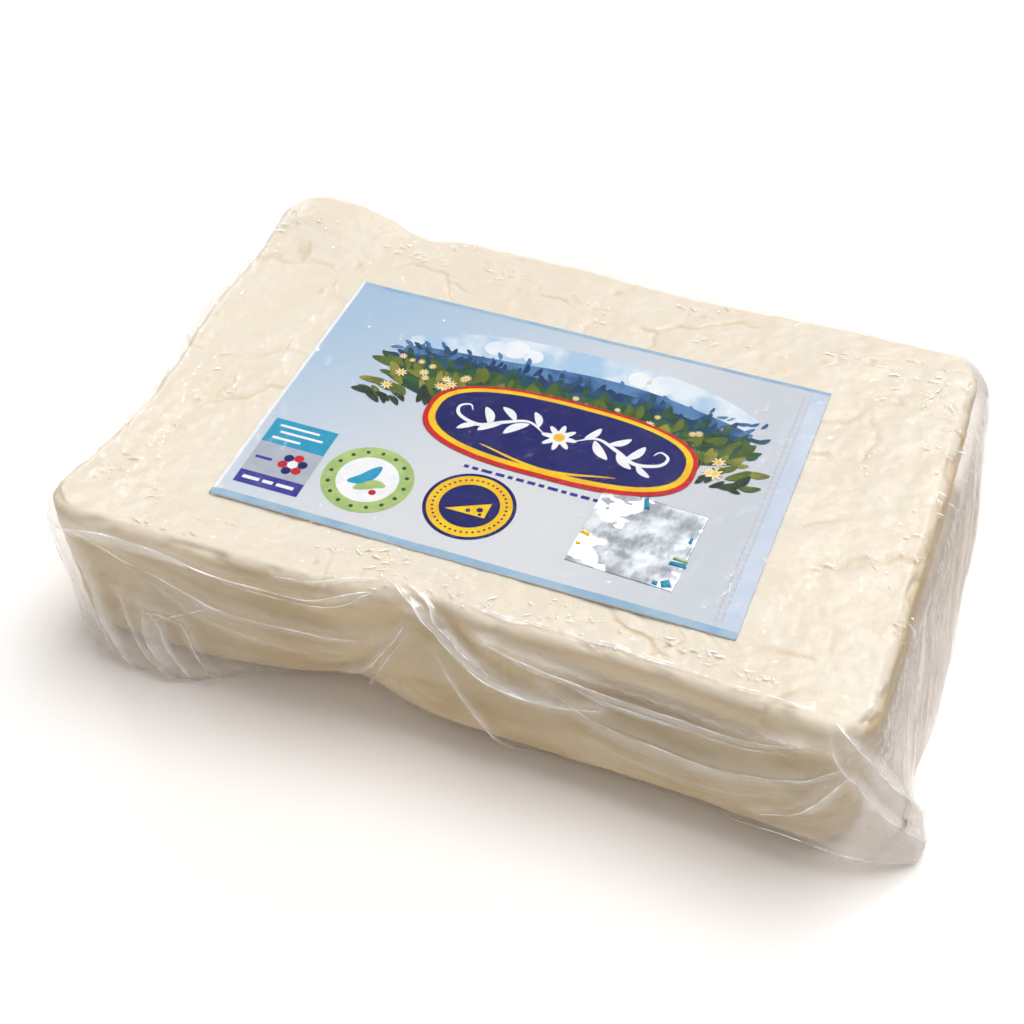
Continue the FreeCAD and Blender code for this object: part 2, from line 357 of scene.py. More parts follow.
class Shader:
    """A material or a world under construction: adds nodes and links what they are given."""

    def __init__(self, name: str, world: bool = False) -> None:
        """Start an empty material, or an empty world."""
        self.owner = (bpy.data.worlds if world else bpy.data.materials).new(name)
        self.owner.use_nodes = True
        self.tree = self.owner.node_tree
        self.tree.nodes.clear()

    def add(self, kind: str, inputs: dict | None = None, **settings) -> bpy.types.Node:
        """Add a node.

        Args:
            kind: the node's type, without its ShaderNode prefix.
            inputs: values or sockets for its inputs, by name or number.
            settings: the node's own settings.

        Returns:
            The node.
        """
        node = self.tree.nodes.new("ShaderNode" + kind)
        for name, value in settings.items():
            setattr(node, name, value)
        for name, value in (inputs or {}).items():
            if isinstance(value, bpy.types.NodeSocket):
                self.tree.links.new(value, node.inputs[name])
            else:
                node.inputs[name].default_value = value
        return node

    def attribute(self, name: str) -> Socket:
        """Read a number that is stored for each vertex, and return its socket."""
        return self.add("Attribute", attribute_name=name).outputs["Fac"]

    def math(self, operation: str, *values: Socket | float) -> Socket:
        """Work out one number from others, and return its socket."""
        node = self.add("Math", dict(enumerate(values)), operation=operation)
        return node.outputs[0]

    def ramp(self, value: Socket, low: float, high: float, to_low: float = 0.0,
             to_high: float = 1.0) -> Socket:
        """Map a number smoothly from one range to another.

        Args:
            value: the number's socket.
            low: where the first range starts.
            high: where it ends.
            to_low: what its start becomes.
            to_high: what its end becomes.

        Returns:
            The result's socket.
        """
        inputs = {"Value": value, "From Min": low, "From Max": high,
                  "To Min": to_low, "To Max": to_high}
        return self.add("MapRange", inputs, interpolation_type="SMOOTHSTEP").outputs["Result"]

    def mix_colour(self, share: Socket | float, first: Socket | Colour,
                   second: Socket | Colour) -> Socket:
        """Mix two colours.

        Args:
            share: how much of the second there is, 0 to 1.
            first: a colour or its socket.
            second: the other colour or its socket.

        Returns:
            The mixture's socket.
        """
        node = self.add("Mix", data_type="RGBA")
        for socket, value in ((node.inputs[0], share), (node.inputs[6], first),
                              (node.inputs[7], second)):
            if isinstance(value, bpy.types.NodeSocket):
                self.tree.links.new(value, socket)
            elif isinstance(value, tuple):
                socket.default_value = (*value, 1.0)
            else:
                socket.default_value = value
        return node.outputs[2]

    def noise(self, size_mm: float, detail: float = 3.0,
              stretch: Sequence[float] = (1, 1, 1)) -> Socket:
        """Add noise with features of about one size.

        Args:
            size_mm: that size.
            detail: how many finer layers it has.
            stretch: how much longer its features are along each axis.

        Returns:
            The socket of its value, about 0 to 1.
        """
        place = self.add("TexCoord").outputs["Object"]
        scale = [1.0 / (MM * size_mm * s) for s in stretch]
        mapped = self.add("Mapping", {"Vector": place, "Scale": scale})
        inputs = {"Vector": mapped.outputs[0], "Scale": 1.0, "Detail": detail, "Roughness": 0.55}
        return self.add("TexNoise", inputs).outputs["Fac"]

    def finish(self, surface: Socket, output: str = "OutputMaterial") -> bpy.types.ID:
        """Link the surface to an output of some kind, and return the material or world."""
        self.add(output, {"Surface": surface})
        return self.owner


@dataclass(frozen=True)
class CheeseFinish:
    """Moist cream curd: light passes a little way in, seams and pores are darker, and the walls
    are darker and warmer than the top, partly in the curd's own tone and partly as painted shade.
    """

    pale: Colour = (0.80, 0.722, 0.605)
    warm: Colour = (0.775, 0.67, 0.505)
    # side and deep, the wall colours, are darker and warmer than the top: partly the curd's own
    # tone, partly painted shade
    side: Colour = (0.71, 0.585, 0.385)
    deep: Colour = (0.60, 0.465, 0.265)
    seam: Colour = (0.64, 0.49, 0.27)
    pore: Colour = (0.46, 0.29, 0.12)

    def material(self) -> bpy.types.Material:
        """Return the material."""
        shader = Shader("cheese_curd")
        clouds = shader.ramp(shader.noise(16.0, 4.0), 0.38, 0.68)
        # painted shade, partly the curd's own tone: the walls take the darker wall colours
        wall_tone_and_shade = shader.attribute("wall_tone_and_shade")
        colour = shader.mix_colour(shader.math("MULTIPLY", clouds, 0.45), self.pale, self.warm)
        bands = shader.ramp(shader.noise(11.0, 4.0, (2.2, 2.2, 0.7)), 0.42, 0.66)
        flank_tone_and_shade = shader.mix_colour(bands, self.side, self.deep)
        colour = shader.mix_colour(wall_tone_and_shade, colour, flank_tone_and_shade)
        seams = shader.attribute("seam")
        colour = shader.mix_colour(shader.math("MULTIPLY", seams, 0.5), colour, self.seam)
        pits = shader.attribute("pit")
        specks = shader.ramp(shader.noise(2.6, 2.0), 0.72, 0.80)
        stain = shader.math("ADD", shader.math("MULTIPLY", specks, 0.25),
                            shader.math("MULTIPLY", pits, 0.2))
        colour = shader.mix_colour(stain, colour, self.pore)
        grain = shader.noise(1.3, 5.0)
        bump = shader.add("Bump", {"Height": grain, "Strength": 0.22, "Distance": 0.0006})
        skin = shader.add("BsdfPrincipled", {
            "Base Color": colour, "Roughness": 0.42, "Subsurface Weight": 0.55,
            "Subsurface Radius": (1.0, 0.62, 0.32), "Subsurface Scale": 0.0022,
            "Specular IOR Level": 0.45, "Normal": bump.outputs[0],
        })
        return shader.finish(skin.outputs[0])


@dataclass(frozen=True)
class FilmFinish:
    """Clear glossy film: seen through, milky where it is creased, and gleaming along folds; high
    on the right wall its milk is darkened with painted shade.
    """

    tint: tuple[float, float, float, float] = (0.99, 0.985, 0.98, 1.0)
    milk: Colour = (1.0, 0.975, 0.96)
    # painted shade: the greyer milk of the film high on the right wall
    painted_shade_milk: Colour = (0.55, 0.50, 0.46)
    roughness: float = 0.08
    wrinkle_mm: float = 1.6
    bend: float = 1.45
    flat_sheen: float = 0.17
    most_sheen: float = 0.42

    def material(self) -> bpy.types.Material:
        """Return the material."""
        shader = Shader("clear_film")
        fine = shader.noise(self.wrinkle_mm, 3.0)
        broad = shader.noise(self.wrinkle_mm * 5, 2.0)
        creases = shader.noise(self.wrinkle_mm * 0.8, 3.0, (3.2, 1.0, 1.6))
        patches = shader.ramp(shader.noise(self.wrinkle_mm * 4, 2.0), 0.42, 0.62)
        creases = shader.math("MULTIPLY", shader.math("MULTIPLY", creases, patches), 2.4)
        both = shader.math("ADD", fine, shader.math("MULTIPLY", broad, 2.0))
        both = shader.math("ADD", both, creases)
        bump = shader.add("Bump", {"Height": both, "Strength": 0.4, "Distance": 0.0005}).outputs[0]
        haze = shader.attribute("haze")
        uneven = shader.ramp(shader.noise(9.0, 2.0), 0.3, 0.7, 0.75, 1.2)
        haze = shader.math("MULTIPLY", haze, uneven)
        clear = shader.add("BsdfTransparent", {"Color": self.tint}).outputs[0]
        # painted shade: the milk turns greyer high on the right wall
        milk_painted_shade = shader.attribute("milk_painted_shade")
        tint = shader.mix_colour(milk_painted_shade, self.milk, self.painted_shade_milk)
        front = shader.add("BsdfDiffuse", {"Color": tint}).outputs[0]
        through = shader.add("BsdfTranslucent", {"Color": tint}).outputs[0]
        milk = shader.add("MixShader", {0: 0.5, 1: front, 2: through}).outputs[0]
        body = shader.add("MixShader", {0: haze, 1: clear, 2: milk}).outputs[0]
        gloss = shader.add("BsdfGlossy", {"Color": (1, 1, 1, 1), "Roughness": self.roughness,
                                          "Normal": bump}).outputs[0]
        inside = shader.add("NewGeometry").outputs["Backfacing"]
        bend = shader.math("SUBTRACT", self.bend, shader.math("MULTIPLY", inside,
                                                              self.bend - 1 / self.bend))
        edge = shader.add("Fresnel", {"IOR": bend, "Normal": bump}).outputs[0]
        edge = shader.math("MULTIPLY", edge, shader.ramp(edge, 0.04, 0.25, self.flat_sheen, 1.0))
        edge = shader.math("MINIMUM", edge, self.most_sheen)
        gleam = shader.attribute("gleam")
        edge = shader.math("MAXIMUM", edge, shader.math("MULTIPLY", gleam, uneven))
        skin = shader.add("MixShader", {0: edge, 1: body, 2: gloss}).outputs[0]
        return shader.finish(skin)


@dataclass(frozen=True)
class PrintFinish:
    """Printed ink: two shades that drift into one another, with a satin sheen."""

    name: str
    colour: Colour
    other: Colour
    size_mm: float = 4.0
    roughness: float = 0.4

    def material(self) -> bpy.types.Material:
        """Return the material."""
        shader = Shader(self.name)
        share = shader.ramp(shader.noise(self.size_mm, 4.0), 0.38, 0.62)
        colour = shader.mix_colour(share, self.colour, self.other)
        skin = shader.add("BsdfPrincipled", {"Base Color": colour, "Roughness": self.roughness,
                                             "Specular IOR Level": 0.1})
        return shader.finish(skin.outputs[0])


@dataclass(frozen=True)
class LabelGround:
    """The label's paper: pale blue at its far left corner, fading to a cool pale grey."""

    blue: Colour = (0.34, 0.50, 0.68)
    grey: Colour = (0.66, 0.68, 0.715)
    far_grey: Colour = (0.55, 0.585, 0.65)

    def material(self) -> bpy.types.Material:
        """Return the material."""
        shader = Shader("label_ground")
        place = shader.add("TexCoord").outputs["Object"]
        axes = shader.add("SeparateXYZ", {0: place}).outputs
        slant = shader.math("SUBTRACT", axes[0], shader.math("MULTIPLY", axes[1], 0.9))
        share = shader.ramp(slant, -0.085, 0.012)
        colour = shader.mix_colour(share, self.blue, self.grey)
        colour = shader.mix_colour(shader.ramp(axes[0], 0.005, 0.04), colour, self.far_grey)
        skin = shader.add("BsdfPrincipled", {"Base Color": colour, "Roughness": 0.4,
                                             "Specular IOR Level": 0.3})
        return shader.finish(skin.outputs[0])


@dataclass(frozen=True)
class FoilFinish:
    """Silver foil: grey with a fine slanting grain, and painted white glare in patches."""

    dark: Colour = (0.22, 0.24, 0.27)
    light: Colour = (0.50, 0.53, 0.57)
    # painted glare: the white that the foil's colour turns where it would glare
    painted_glare: Colour = (1.0, 1.0, 1.0)

    def material(self) -> bpy.types.Material:
        """Return the material."""
        shader = Shader("silver_foil")
        fine = shader.noise(0.6, 3.0, (1.0, 2.2, 1.0))
        broad = shader.noise(5.0, 2.0)
        both = shader.math("ADD", broad, shader.math("MULTIPLY", fine, 0.35))
        colour = shader.mix_colour(shader.ramp(both, 0.5, 0.85), self.dark, self.light)
        painted_glare = shader.attribute("painted_glare")
        colour = shader.mix_colour(painted_glare, colour, self.painted_glare)
        bump = shader.add("Bump", {"Height": fine, "Strength": 0.12, "Distance": 0.0002})
        skin = shader.add("BsdfPrincipled", {"Base Color": colour, "Roughness": 0.3,
                                             "Metallic": 0.7, "Normal": bump.outputs[0]})
        return shader.finish(skin.outputs[0])


# The form that block and film share

@dataclass(frozen=True)
class Swell:
    """A soft bulge or dent: centre, reach along each axis and push, in millimetres."""

    centre: tuple[float, float, float]
    reach: tuple[float, float, float]
    push: tuple[float, float, float]
    film_only: bool = False

    def at(self, points: Array) -> Array:
        """Push by a bell curve of the distance, counted in reaches along each axis."""
        away = (((points - np.array(self.centre)) / np.array(self.reach)) ** 2).sum(-1)
        return np.exp(-away)[..., None] * np.array(self.push)


@dataclass(frozen=True)
class RingCounts:
    """How many rows of vertices each zone of a skin has, and how many go round."""

    around: int
    underside: int
    base: int
    wall: int
    rim: int
    margin: int
    field: int


@dataclass(frozen=True)
class PackForm:
    """The rounded block that the swells then push about, in millimetres."""

    length: float
    width: float
    height: float
    corner: float = 9.0
    inner_corner: float = 6.5
    rim: float = 3.0
    base: float = 9.0
    hem: float = 2.0
    label_margin: float = 6.0
    field_way: float = 30.0

    def stations(self, around: int) -> tuple[Array, Array, Array]:
        """Space stations evenly round the outline.

        The walk starts where the front wall leaves the front left corner and goes round with
        the front, right, back and left walls, each followed by its corner's quarter circle.

        Args:
            around: how many stations there are.

        Returns:
            The leg's number, the share of that leg, and the walk in millimetres, which is
            negative on the left wall.
        """
        arc = QUARTER_TURN * self.corner
        long_run = self.length - 2 * self.corner
        short_run = self.width - 2 * self.corner
        legs = np.array([long_run, arc, short_run, arc, long_run, arc, short_run, arc])
        ends = np.cumsum(legs)
        walk = np.arange(around) / around * ends[-1]
        leg = np.searchsorted(ends, walk, side="right")
        share = (walk - (ends - legs)[leg]) / legs[leg]
        signed = np.where(walk > ends[-1] - arc - short_run, walk - ends[-1], walk)
        return leg, share, signed

    def girth(self) -> float:
        """Return the length of the walk once round."""
        straight = 2 * (self.length + self.width - 4 * self.corner)
        return straight + FULL_TURN * self.corner

    def outline(self, leg: Array, share: Array, length: float, width: float,
                corner: float) -> tuple[Array, Array]:
        """Place stations on a rounded rectangle: along its sides and round its corners.

        Args:
            leg: each station's leg: the even ones are sides, the odd ones corners.
            share: how far along its leg each lies.
            length: the rectangle's length.
            width: its width.
            corner: the radius of its corners.

        Returns:
            The flat positions and the outward directions there.
        """
        half = np.stack(np.broadcast_arrays(length / 2 - corner, width / 2 - corner), -1)
        signs = np.array([[-1, -1], [1, -1], [1, 1], [-1, 1]])
        side = leg // 2
        first = signs[side] * half
        second = signs[(side + 1) % 4] * half
        on_corner = (leg % 2 == 1)[..., None]
        angle = np.radians(90.0 * (side - 1))
        way = directions(angle + np.where(leg % 2 == 1, share * math.pi / 2, 0.0))
        centre = np.where(on_corner, second, first + (second - first) * share[..., None])
        return centre + corner * way, way

    def skin(self, counts: RingCounts,
             hem_at: Callable[[Array], Array]) -> tuple[Array, Array, Array, Array]:
        """Carry the profile round the block.

        The profile runs out along the underside, round the base edge, up the wall, over the
        rim, in across the margin of the top and in across the field under the label.

        Args:
            counts: the rows and stations of the grid.
            hem_at: where the base edge is nearly square, 0 to 1 for flat positions.

        Returns:
            The grid's points, its outward directions, the walk, and the way up the profile:
            the height on the wall, then on round the rim and in across the top.
        """
        leg, share, walk = self.stations(counts.around)
        wall_xy, wall_way = self.outline(leg, share, self.length, self.width, self.corner)
        (base_xy, _), (rim_xy, _), (field_xy, _) = (
            self.outline(leg, share, length, width, self.inner_corner)
            for length, width in ((self.length - 2 * self.base, self.width - 2 * self.base),
                                  (self.length - 2 * self.rim, self.width - 2 * self.rim),
                                  LABEL_SIZE[:2] + self.label_margin))
        field_xy = field_xy + LABEL_CENTRE
        radius = self.base + (self.hem - self.base) * hem_at(wall_xy)
        rows = []

        foot_of_rim = self.height - self.rim
        top_edge = foot_of_rim + self.rim * math.pi / 2

        def row(flat: Array, height: Array | float, lean: float, profile: Array | float) -> None:
            """Keep one ring: its places, its level, its lean from upright and its profile."""
            level = np.broadcast_to(height, flat.shape[:1])
            way = np.concatenate([wall_way * math.cos(lean),
                                  np.full((counts.around, 1), math.sin(lean))], -1)
            rows.append((np.concatenate([flat, level[:, None]], -1), way,
                         np.broadcast_to(profile, flat.shape[:1])))

        foot = wall_xy + (base_xy - wall_xy) * (radius / self.base)[:, None]
        for out in np.linspace(0, 1, counts.underside, endpoint=False):
            row(foot * out, 0.0, -math.pi / 2, out - 1.0)
        for turn in np.linspace(0, math.pi / 2, counts.base, endpoint=False):
            inward = (radius / self.base * (1 - math.sin(turn)))[:, None]
            rise = radius * (1 - math.cos(turn))
            row(wall_xy + (base_xy - wall_xy) * inward, rise, turn - math.pi / 2, rise)
        for up in np.linspace(0, 1, counts.wall, endpoint=False):
            rise = radius + (foot_of_rim - radius) * up
            row(wall_xy, rise, 0.0, rise)
        for turn in np.linspace(0, math.pi / 2, counts.rim, endpoint=False):
            flat = wall_xy + (rim_xy - wall_xy) * (1 - math.cos(turn))
            row(flat, foot_of_rim + self.rim * math.sin(turn), turn,
                foot_of_rim + self.rim * turn)
        reach = np.linalg.norm(field_xy - rim_xy, axis=1)
        for inward in np.linspace(0, 1, counts.margin, endpoint=False):
            row(rim_xy + (field_xy - rim_xy) * inward, self.height, math.pi / 2,
                top_edge + reach * inward)
        for inward in np.linspace(0, 1, counts.field):
            row(LABEL_CENTRE + (field_xy - LABEL_CENTRE) * (1 - inward), self.height,
                math.pi / 2, top_edge + reach + self.field_way * inward)
        points, ways, profile = (np.stack(part) for part in zip(*rows))
        return points, ways, walk, profile


def closed_skin(points: Array) -> tuple[Array, list]:
    """Turn a grid whose first and last rows are single spots into one closed mesh.

    Args:
        points: the grid, row by row.

    Returns:
        The vertices and the faces: a fan at each pole and four-sided faces between.
    """
    rows, around = points.shape[:2]
    vertices = np.vstack([points[1:-1].reshape(-1, 3), points[0, :1], points[-1, :1]])
    return vertices, [face for part in tube_faces(rows - 2, around) for face in part.tolist()]


def pole_values(values: Array) -> Array:
    """Order a grid of numbers as closed_skin orders its vertices."""
    return np.concatenate([values[1:-1].ravel(), values[0, :1], values[-1, :1]])


FILM_FORM = PackForm(length=154.0, width=105.0, height=TOP_LEVEL)
BLOCK_FORM = PackForm(length=152.6, width=103.6, height=TOP_LEVEL - 0.12, corner=8.3,
                      inner_corner=6.0, rim=2.4, base=8.6)
RIGHT = FILM_FORM.length / 2
BACK = FILM_FORM.width / 2

SWELLS = [
    # right wall: the skirt of film, slack film behind it, and the ear at its front end
    Swell((RIGHT, -12.0, 0.0), (30.0, 46.0, 24.0), (7.5, 0.0, 0.0), film_only=True),
    Swell((RIGHT, 30.0, 14.0), (26.0, 20.0, 20.0), (2.2, 0.0, 0.0), film_only=True),
    Swell((RIGHT, 7.0 - BACK, 0.0), (14.0, 8.0, 15.0), (7.0, -1.0, 0.0), film_only=True),
    # front wall, left part: the hem of film on the ground and the slack corner above it
    Swell((19.0 - RIGHT, -BACK, 0.0), (17.0, 16.0, 13.0), (0.0, -4.5, 0.0), film_only=True),
    Swell((-RIGHT, 7.0 - BACK, TOP_LEVEL - 5.0), (14.0, 9.0, 11.0), (-2.6, -0.6, 0.0)),
    Swell((25.0 - RIGHT, -BACK, TOP_LEVEL - 8.0), (24.0, 14.0, 18.0), (0.0, -1.0, 0.0)),
    # front wall, middle: the pinch under the rim and the notch at the ground
    Swell((-1.0, -BACK, TOP_LEVEL - 4.0), (6.5, 9.0, 6.5), (0.0, 3.6, -1.2)),
    Swell((-12.0, -BACK, TOP_LEVEL - 2.0), (6.0, 9.0, 9.0), (0.0, 1.6, -0.6)),
    Swell((-17.0, -BACK, 0.0), (10.0, 14.0, 12.0), (0.0, 5.0, 0.0)),
    # front wall: the dent of its right part, the waist under the lip, and the belly
    Swell((28.0, -BACK, TOP_LEVEL), (26.0, 14.0, 22.0), (0.0, 2.2, 0.0)),
    Swell((40.0, -BACK, TOP_LEVEL - 11.0), (32.0, 12.0, 5.5), (0.0, 2.4, 0.0)),
    Swell((36.0 - RIGHT, -BACK, TOP_LEVEL - 10.0), (30.0, 12.0, 5.0), (0.0, 1.2, 0.0)),
    Swell((38.0, -BACK, 9.0), (34.0, 12.0, 7.0), (0.0, -1.4, 0.0)),
    # left wall: a long shallow dent, and slack film towards the back
    Swell((-RIGHT, -16.0, TOP_LEVEL / 2), (14.0, 15.0, 40.0), (2.0, 0.0, 0.0)),
    Swell((-RIGHT, 20.0, TOP_LEVEL - 8.0), (14.0, 14.0, 22.0), (-1.8, 0.0, 0.0),
          film_only=True),
    # back wall: the high slack corner, the notch beside it and the long dent
    Swell((9.0 - RIGHT, BACK - 4.0, TOP_LEVEL), (15.0, 13.0, 12.0), (0.0, 0.0, 2.8)),
    Swell((14.0 - RIGHT, BACK, TOP_LEVEL - 8.0), (11.0, 12.0, 20.0), (-0.8, 1.6, 0.0)),
    Swell((33.0 - RIGHT, BACK, TOP_LEVEL), (6.0, 10.0, 22.0), (0.0, -2.0, -0.8)),
    Swell((16.0, BACK, TOP_LEVEL), (22.0, 14.0, 24.0), (0.0, -1.2, -0.4)),
]


def swollen(points: Array, film: bool) -> Array:
    """Add every swell's push to the points; the block leaves out those of the film alone."""
    pushes = [swell.at(points) for swell in SWELLS if film or not swell.film_only]
    return points + sum(pushes)


def right_share(flat: Array) -> Array:
    """Say how near places of the ground are to the right wall's skirt: 0 to 1."""
    return bell(flat[:, 0] - RIGHT, 16.0)


def front_left_share(flat: Array) -> Array:
    """Say how near places of the ground are to the hem of the front left: 0 to 1."""
    across = (flat[:, 0] + RIGHT - 19.0) / 17.0
    return np.exp(-(across**4)) * bell(flat[:, 1] + BACK, 12.0)


def hem_at(flat: Array) -> Array:
    """Say how far the film, not the rounded base, meets the ground there: 0 to 1."""
    return np.minimum(1.0, right_share(flat) + front_left_share(flat))


def block_hem_at(flat: Array) -> Array:
    """Say where the block's own base edge is squarer, under skirt and hem: 0 to 1."""
    return np.minimum(0.8, 0.6 * right_share(flat) + 0.58 * front_left_share(flat))


def beside_label(points: Array) -> Array:
    """Return 0 over the label and 1 outside it, with a soft step along its edge."""
    off = np.abs(points[..., :2] - LABEL_CENTRE) - LABEL_SIZE[:2] / 2
    return smooth_step(off.max(-1), -0.6, 1.4)


class Curd:
    """The relief of the pressed curd: lumps, seams between curds, chips and pits."""

    curds = 170
    holes = 46
    seam_reach = 0.42
    at_a_time = 20000

    def __init__(self) -> None:
        """Draw the seeded noises, the curds' middles and the pits."""
        self.lumps = GradientNoise(11)
        self.warp = GradientNoise(23)
        draw = np.random.default_rng(5)
        self.middles = draw.uniform((-84, -58, -6), (84, 58, 40), size=(self.curds, 3))
        self.pits = draw.uniform((-75, -51, 33), (75, 51, 33), size=(self.holes, 3))
        self.pit_reach = 0.35 + 0.75 * draw.random(self.holes) ** 2

    def seams(self, points: Array) -> Array:
        """Trace the borders between curds.

        A border is where the nearest two middles are equally far; noise bends it and lets it
        fade in places.

        Args:
            points: places on the block.

        Returns:
            1 on a border, falling to 0 beside it.
        """
        bent = points
        for push, shift, size in ((6.0, 31.0, 16.0), (1.5, 57.0, 4.0)):
            bent = bent + push * np.stack([self.warp.at(points + k * shift, size)
                                           for k in range(3)], -1)
        flat = bent.reshape(-1, 3)
        gap = np.empty(len(flat))
        for start in range(0, len(flat), self.at_a_time):
            block = flat[start:start + self.at_a_time]
            far = ((block[:, None] - self.middles[None]) ** 2).sum(-1)
            pair = np.argpartition(far, 1, axis=1)[:, :2]
            near = np.take_along_axis(far, pair, axis=1)
            apart = np.linalg.norm(self.middles[pair[:, 0]] - self.middles[pair[:, 1]], axis=-1)
            gap[start:start + self.at_a_time] = np.abs(near[:, 1] - near[:, 0]) / (2 * apart)
        border = bell(gap, self.seam_reach).reshape(points.shape[:-1])
        return border * smooth_step(self.warp.at(points + 90.0, 14.0), 0.0, 0.35)

    def broad(self, points: Array) -> Array:
        """Return the soft unevenness that curd and film share, in millimetres."""
        return 0.50 * self.lumps.at(points, 26.0) + 0.19 * self.lumps.at(points + 50.0, 11.0)

    def small(self, points: Array) -> Array:
        """Return smaller unevenness, which the film follows only in part, in millimetres."""
        return 0.15 * self.lumps.at(points + 75.0, 6.0) + 0.08 * self.lumps.at(points, 3.2)

    def fine(self, points: Array) -> Array:
        """Return the small unevenness of the curd alone, in millimetres."""
        return 0.13 * self.lumps.layered(points + 9.0, 3.0, 3)

    def chips(self, points: Array, lean: Array) -> Array:
        """Return how the rim is chipped: only where the skin leans, most at right and front.

        Args:
            points: places on the block.
            lean: the upward part of the outward direction there.

        Returns:
            The push, in millimetres, which is never outwards.
        """
        edge = smooth_step(lean, 0.02, 0.3) * (1 - smooth_step(lean, 0.85, 1.0))
        edge = edge * (1 + 1.6 * smooth_step(points[..., 0], 60.0, 70.0)
                       + 0.9 * smooth_step(-points[..., 1], 42.0, 49.0))
        return -0.45 * edge * np.maximum(0, self.lumps.layered(points + 120.0, 6.0, 3))

    def pitting(self, points: Array) -> Array:
        """Sink small pits into the top, a bell curve at each.

        Args:
            points: places on the block.

        Returns:
            Their depth, in millimetres.
        """
        depth = np.zeros(points.shape[:-1])
        for middle, reach in zip(self.pits, self.pit_reach):
            away = ((points - middle) ** 2).sum(-1) / reach**2
            depth += 0.6 * reach * np.exp(-away)
        return depth


CURD = Curd()


# The block of cheese

@dataclass
class CheeseBlock:
    """The pressed block inside the film."""

    form: PackForm = BLOCK_FORM
    counts: RingCounts = RingCounts(around=780, underside=5, base=10, wall=36, rim=10,
                                    margin=44, field=5)
    finish: CheeseFinish = field(default_factory=CheeseFinish)
    seam_depth: float = 0.32
    lowest: float = 0.3
    notch_crease: tuple = ((-20, 8), (-15, 12.5), (-10.5, 19), (-7.4, 25.5), (-5, 29.5))
    pinch_crease: tuple = ((-1, 29), (2.5, 25), (8, 21), (15, 18.4), (22, 18))

    def crease(self, points: Array) -> Array:
        """Cut the two creases of the front wall that rise to the pinch: bell curves across.

        Args:
            points: places on the block.

        Returns:
            Their depth, in millimetres.
        """
        flat = points[..., [0, 2]]
        front_only = smooth_step(-points[..., 1], 40.0, 48.0)
        near, _ = away_from_path(flat, smooth_path(self.notch_crease, 16))
        other, _ = away_from_path(flat, smooth_path(self.pinch_crease, 12))
        return front_only * (1.3 * bell(near, 1.5) + 0.8 * bell(other, 1.2))

    def build(self) -> bpy.types.Object:
        """Shape the block and dress it.

        The surface is the rounded block plus the swells, then the relief along the outward
        direction; the relief fades out under the label and on the underside.
        """
        plain, ways, _, _ = self.form.skin(self.counts, block_hem_at)
        points = swollen(plain, film=False)
        free = beside_label(points) * smooth_step(points[..., 2], 0.5, 5.0)
        seams = CURD.seams(points)
        pits = CURD.pitting(points)
        relief = CURD.broad(points) + CURD.small(points) + CURD.fine(points)
        relief = relief - self.seam_depth * seams - pits
        relief = relief + CURD.chips(points, ways[..., 2]) - self.crease(points)
        points = points + ways * (relief * free)[..., None]
        points[..., 2] = np.maximum(points[..., 2], self.lowest)
        vertices, faces = closed_skin(points)
        block = new_piece("cheese_block", vertices, faces, self.finish.material())
        set_attribute(block, "seam", pole_values(seams * free))
        set_attribute(block, "pit", pole_values(np.clip(2.2 * pits, 0, 1) * free))
        # painted shade, partly the curd's own tone: 1 on the walls, 0 on the top
        side = 1 - smooth_step(ways[..., 2], 0.1, 0.9)
        set_attribute(block, "wall_tone_and_shade", pole_values(side))
        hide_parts("bag")
        return block


# The film bag

FRONT_START = FILM_FORM.length / 2 - FILM_FORM.corner
SIDE_START = FILM_FORM.width / 2 - FILM_FORM.corner
ARC = QUARTER_TURN * FILM_FORM.corner
RIM_FOOT = FILM_FORM.height - FILM_FORM.rim
RIM_ARC = QUARTER_TURN * FILM_FORM.rim


def up_the_profile(height: float) -> float:
    """Turn a height as seen from the front into a way up the profile.

    Up to the rim's foot they are the same; the rim's quarter circle is longer than it is high;
    above it the way runs in across the top.

    Args:
        height: the height, in millimetres.

    Returns:
        The way up the profile, in millimetres.
    """
    if height <= RIM_FOOT:
        return height
    over = height - RIM_FOOT
    if over <= FILM_FORM.rim:
        return RIM_FOOT + over * RIM_ARC / FILM_FORM.rim
    return RIM_FOOT + RIM_ARC + (over - FILM_FORM.rim)


def on_front(*spots: Spot) -> tuple[Spot, ...]:
    """Give spots of the front wall, by place across it and height, as walk and profile."""
    return tuple((x + FRONT_START, up_the_profile(z)) for x, z in spots)


def on_right(*spots: Spot) -> tuple[Spot, ...]:
    """Give spots of the right wall, by place from front to back and height."""
    start = 2 * FRONT_START + ARC + SIDE_START
    return tuple((start + y, up_the_profile(z)) for y, z in spots)


def on_left(*spots: Spot) -> tuple[Spot, ...]:
    """Give spots of the left wall, by place from front to back and height."""
    return tuple((-ARC - SIDE_START - y, up_the_profile(z)) for y, z in spots)


def on_back(*spots: Spot) -> tuple[Spot, ...]:
    """Give spots of the back wall, by place across it and height."""
    start = 3 * FRONT_START + 2 * ARC + 2 * SIDE_START
    return tuple((start - x, up_the_profile(z)) for x, z in spots)


@dataclass(frozen=True)
class Fold:
    """A fold of the film: a milky band of doubled film beside a crisp bright line.

    Its points are walk and profile.  The band lies to the right of the way along them when its
    width is positive, to the left when it is negative.
    """

    points: tuple[Spot, ...]
    width: float = 2.0
    milk: float = 0.3
    lift: float = 0.5
    line: float = 0.16
    fade: float = 1.1


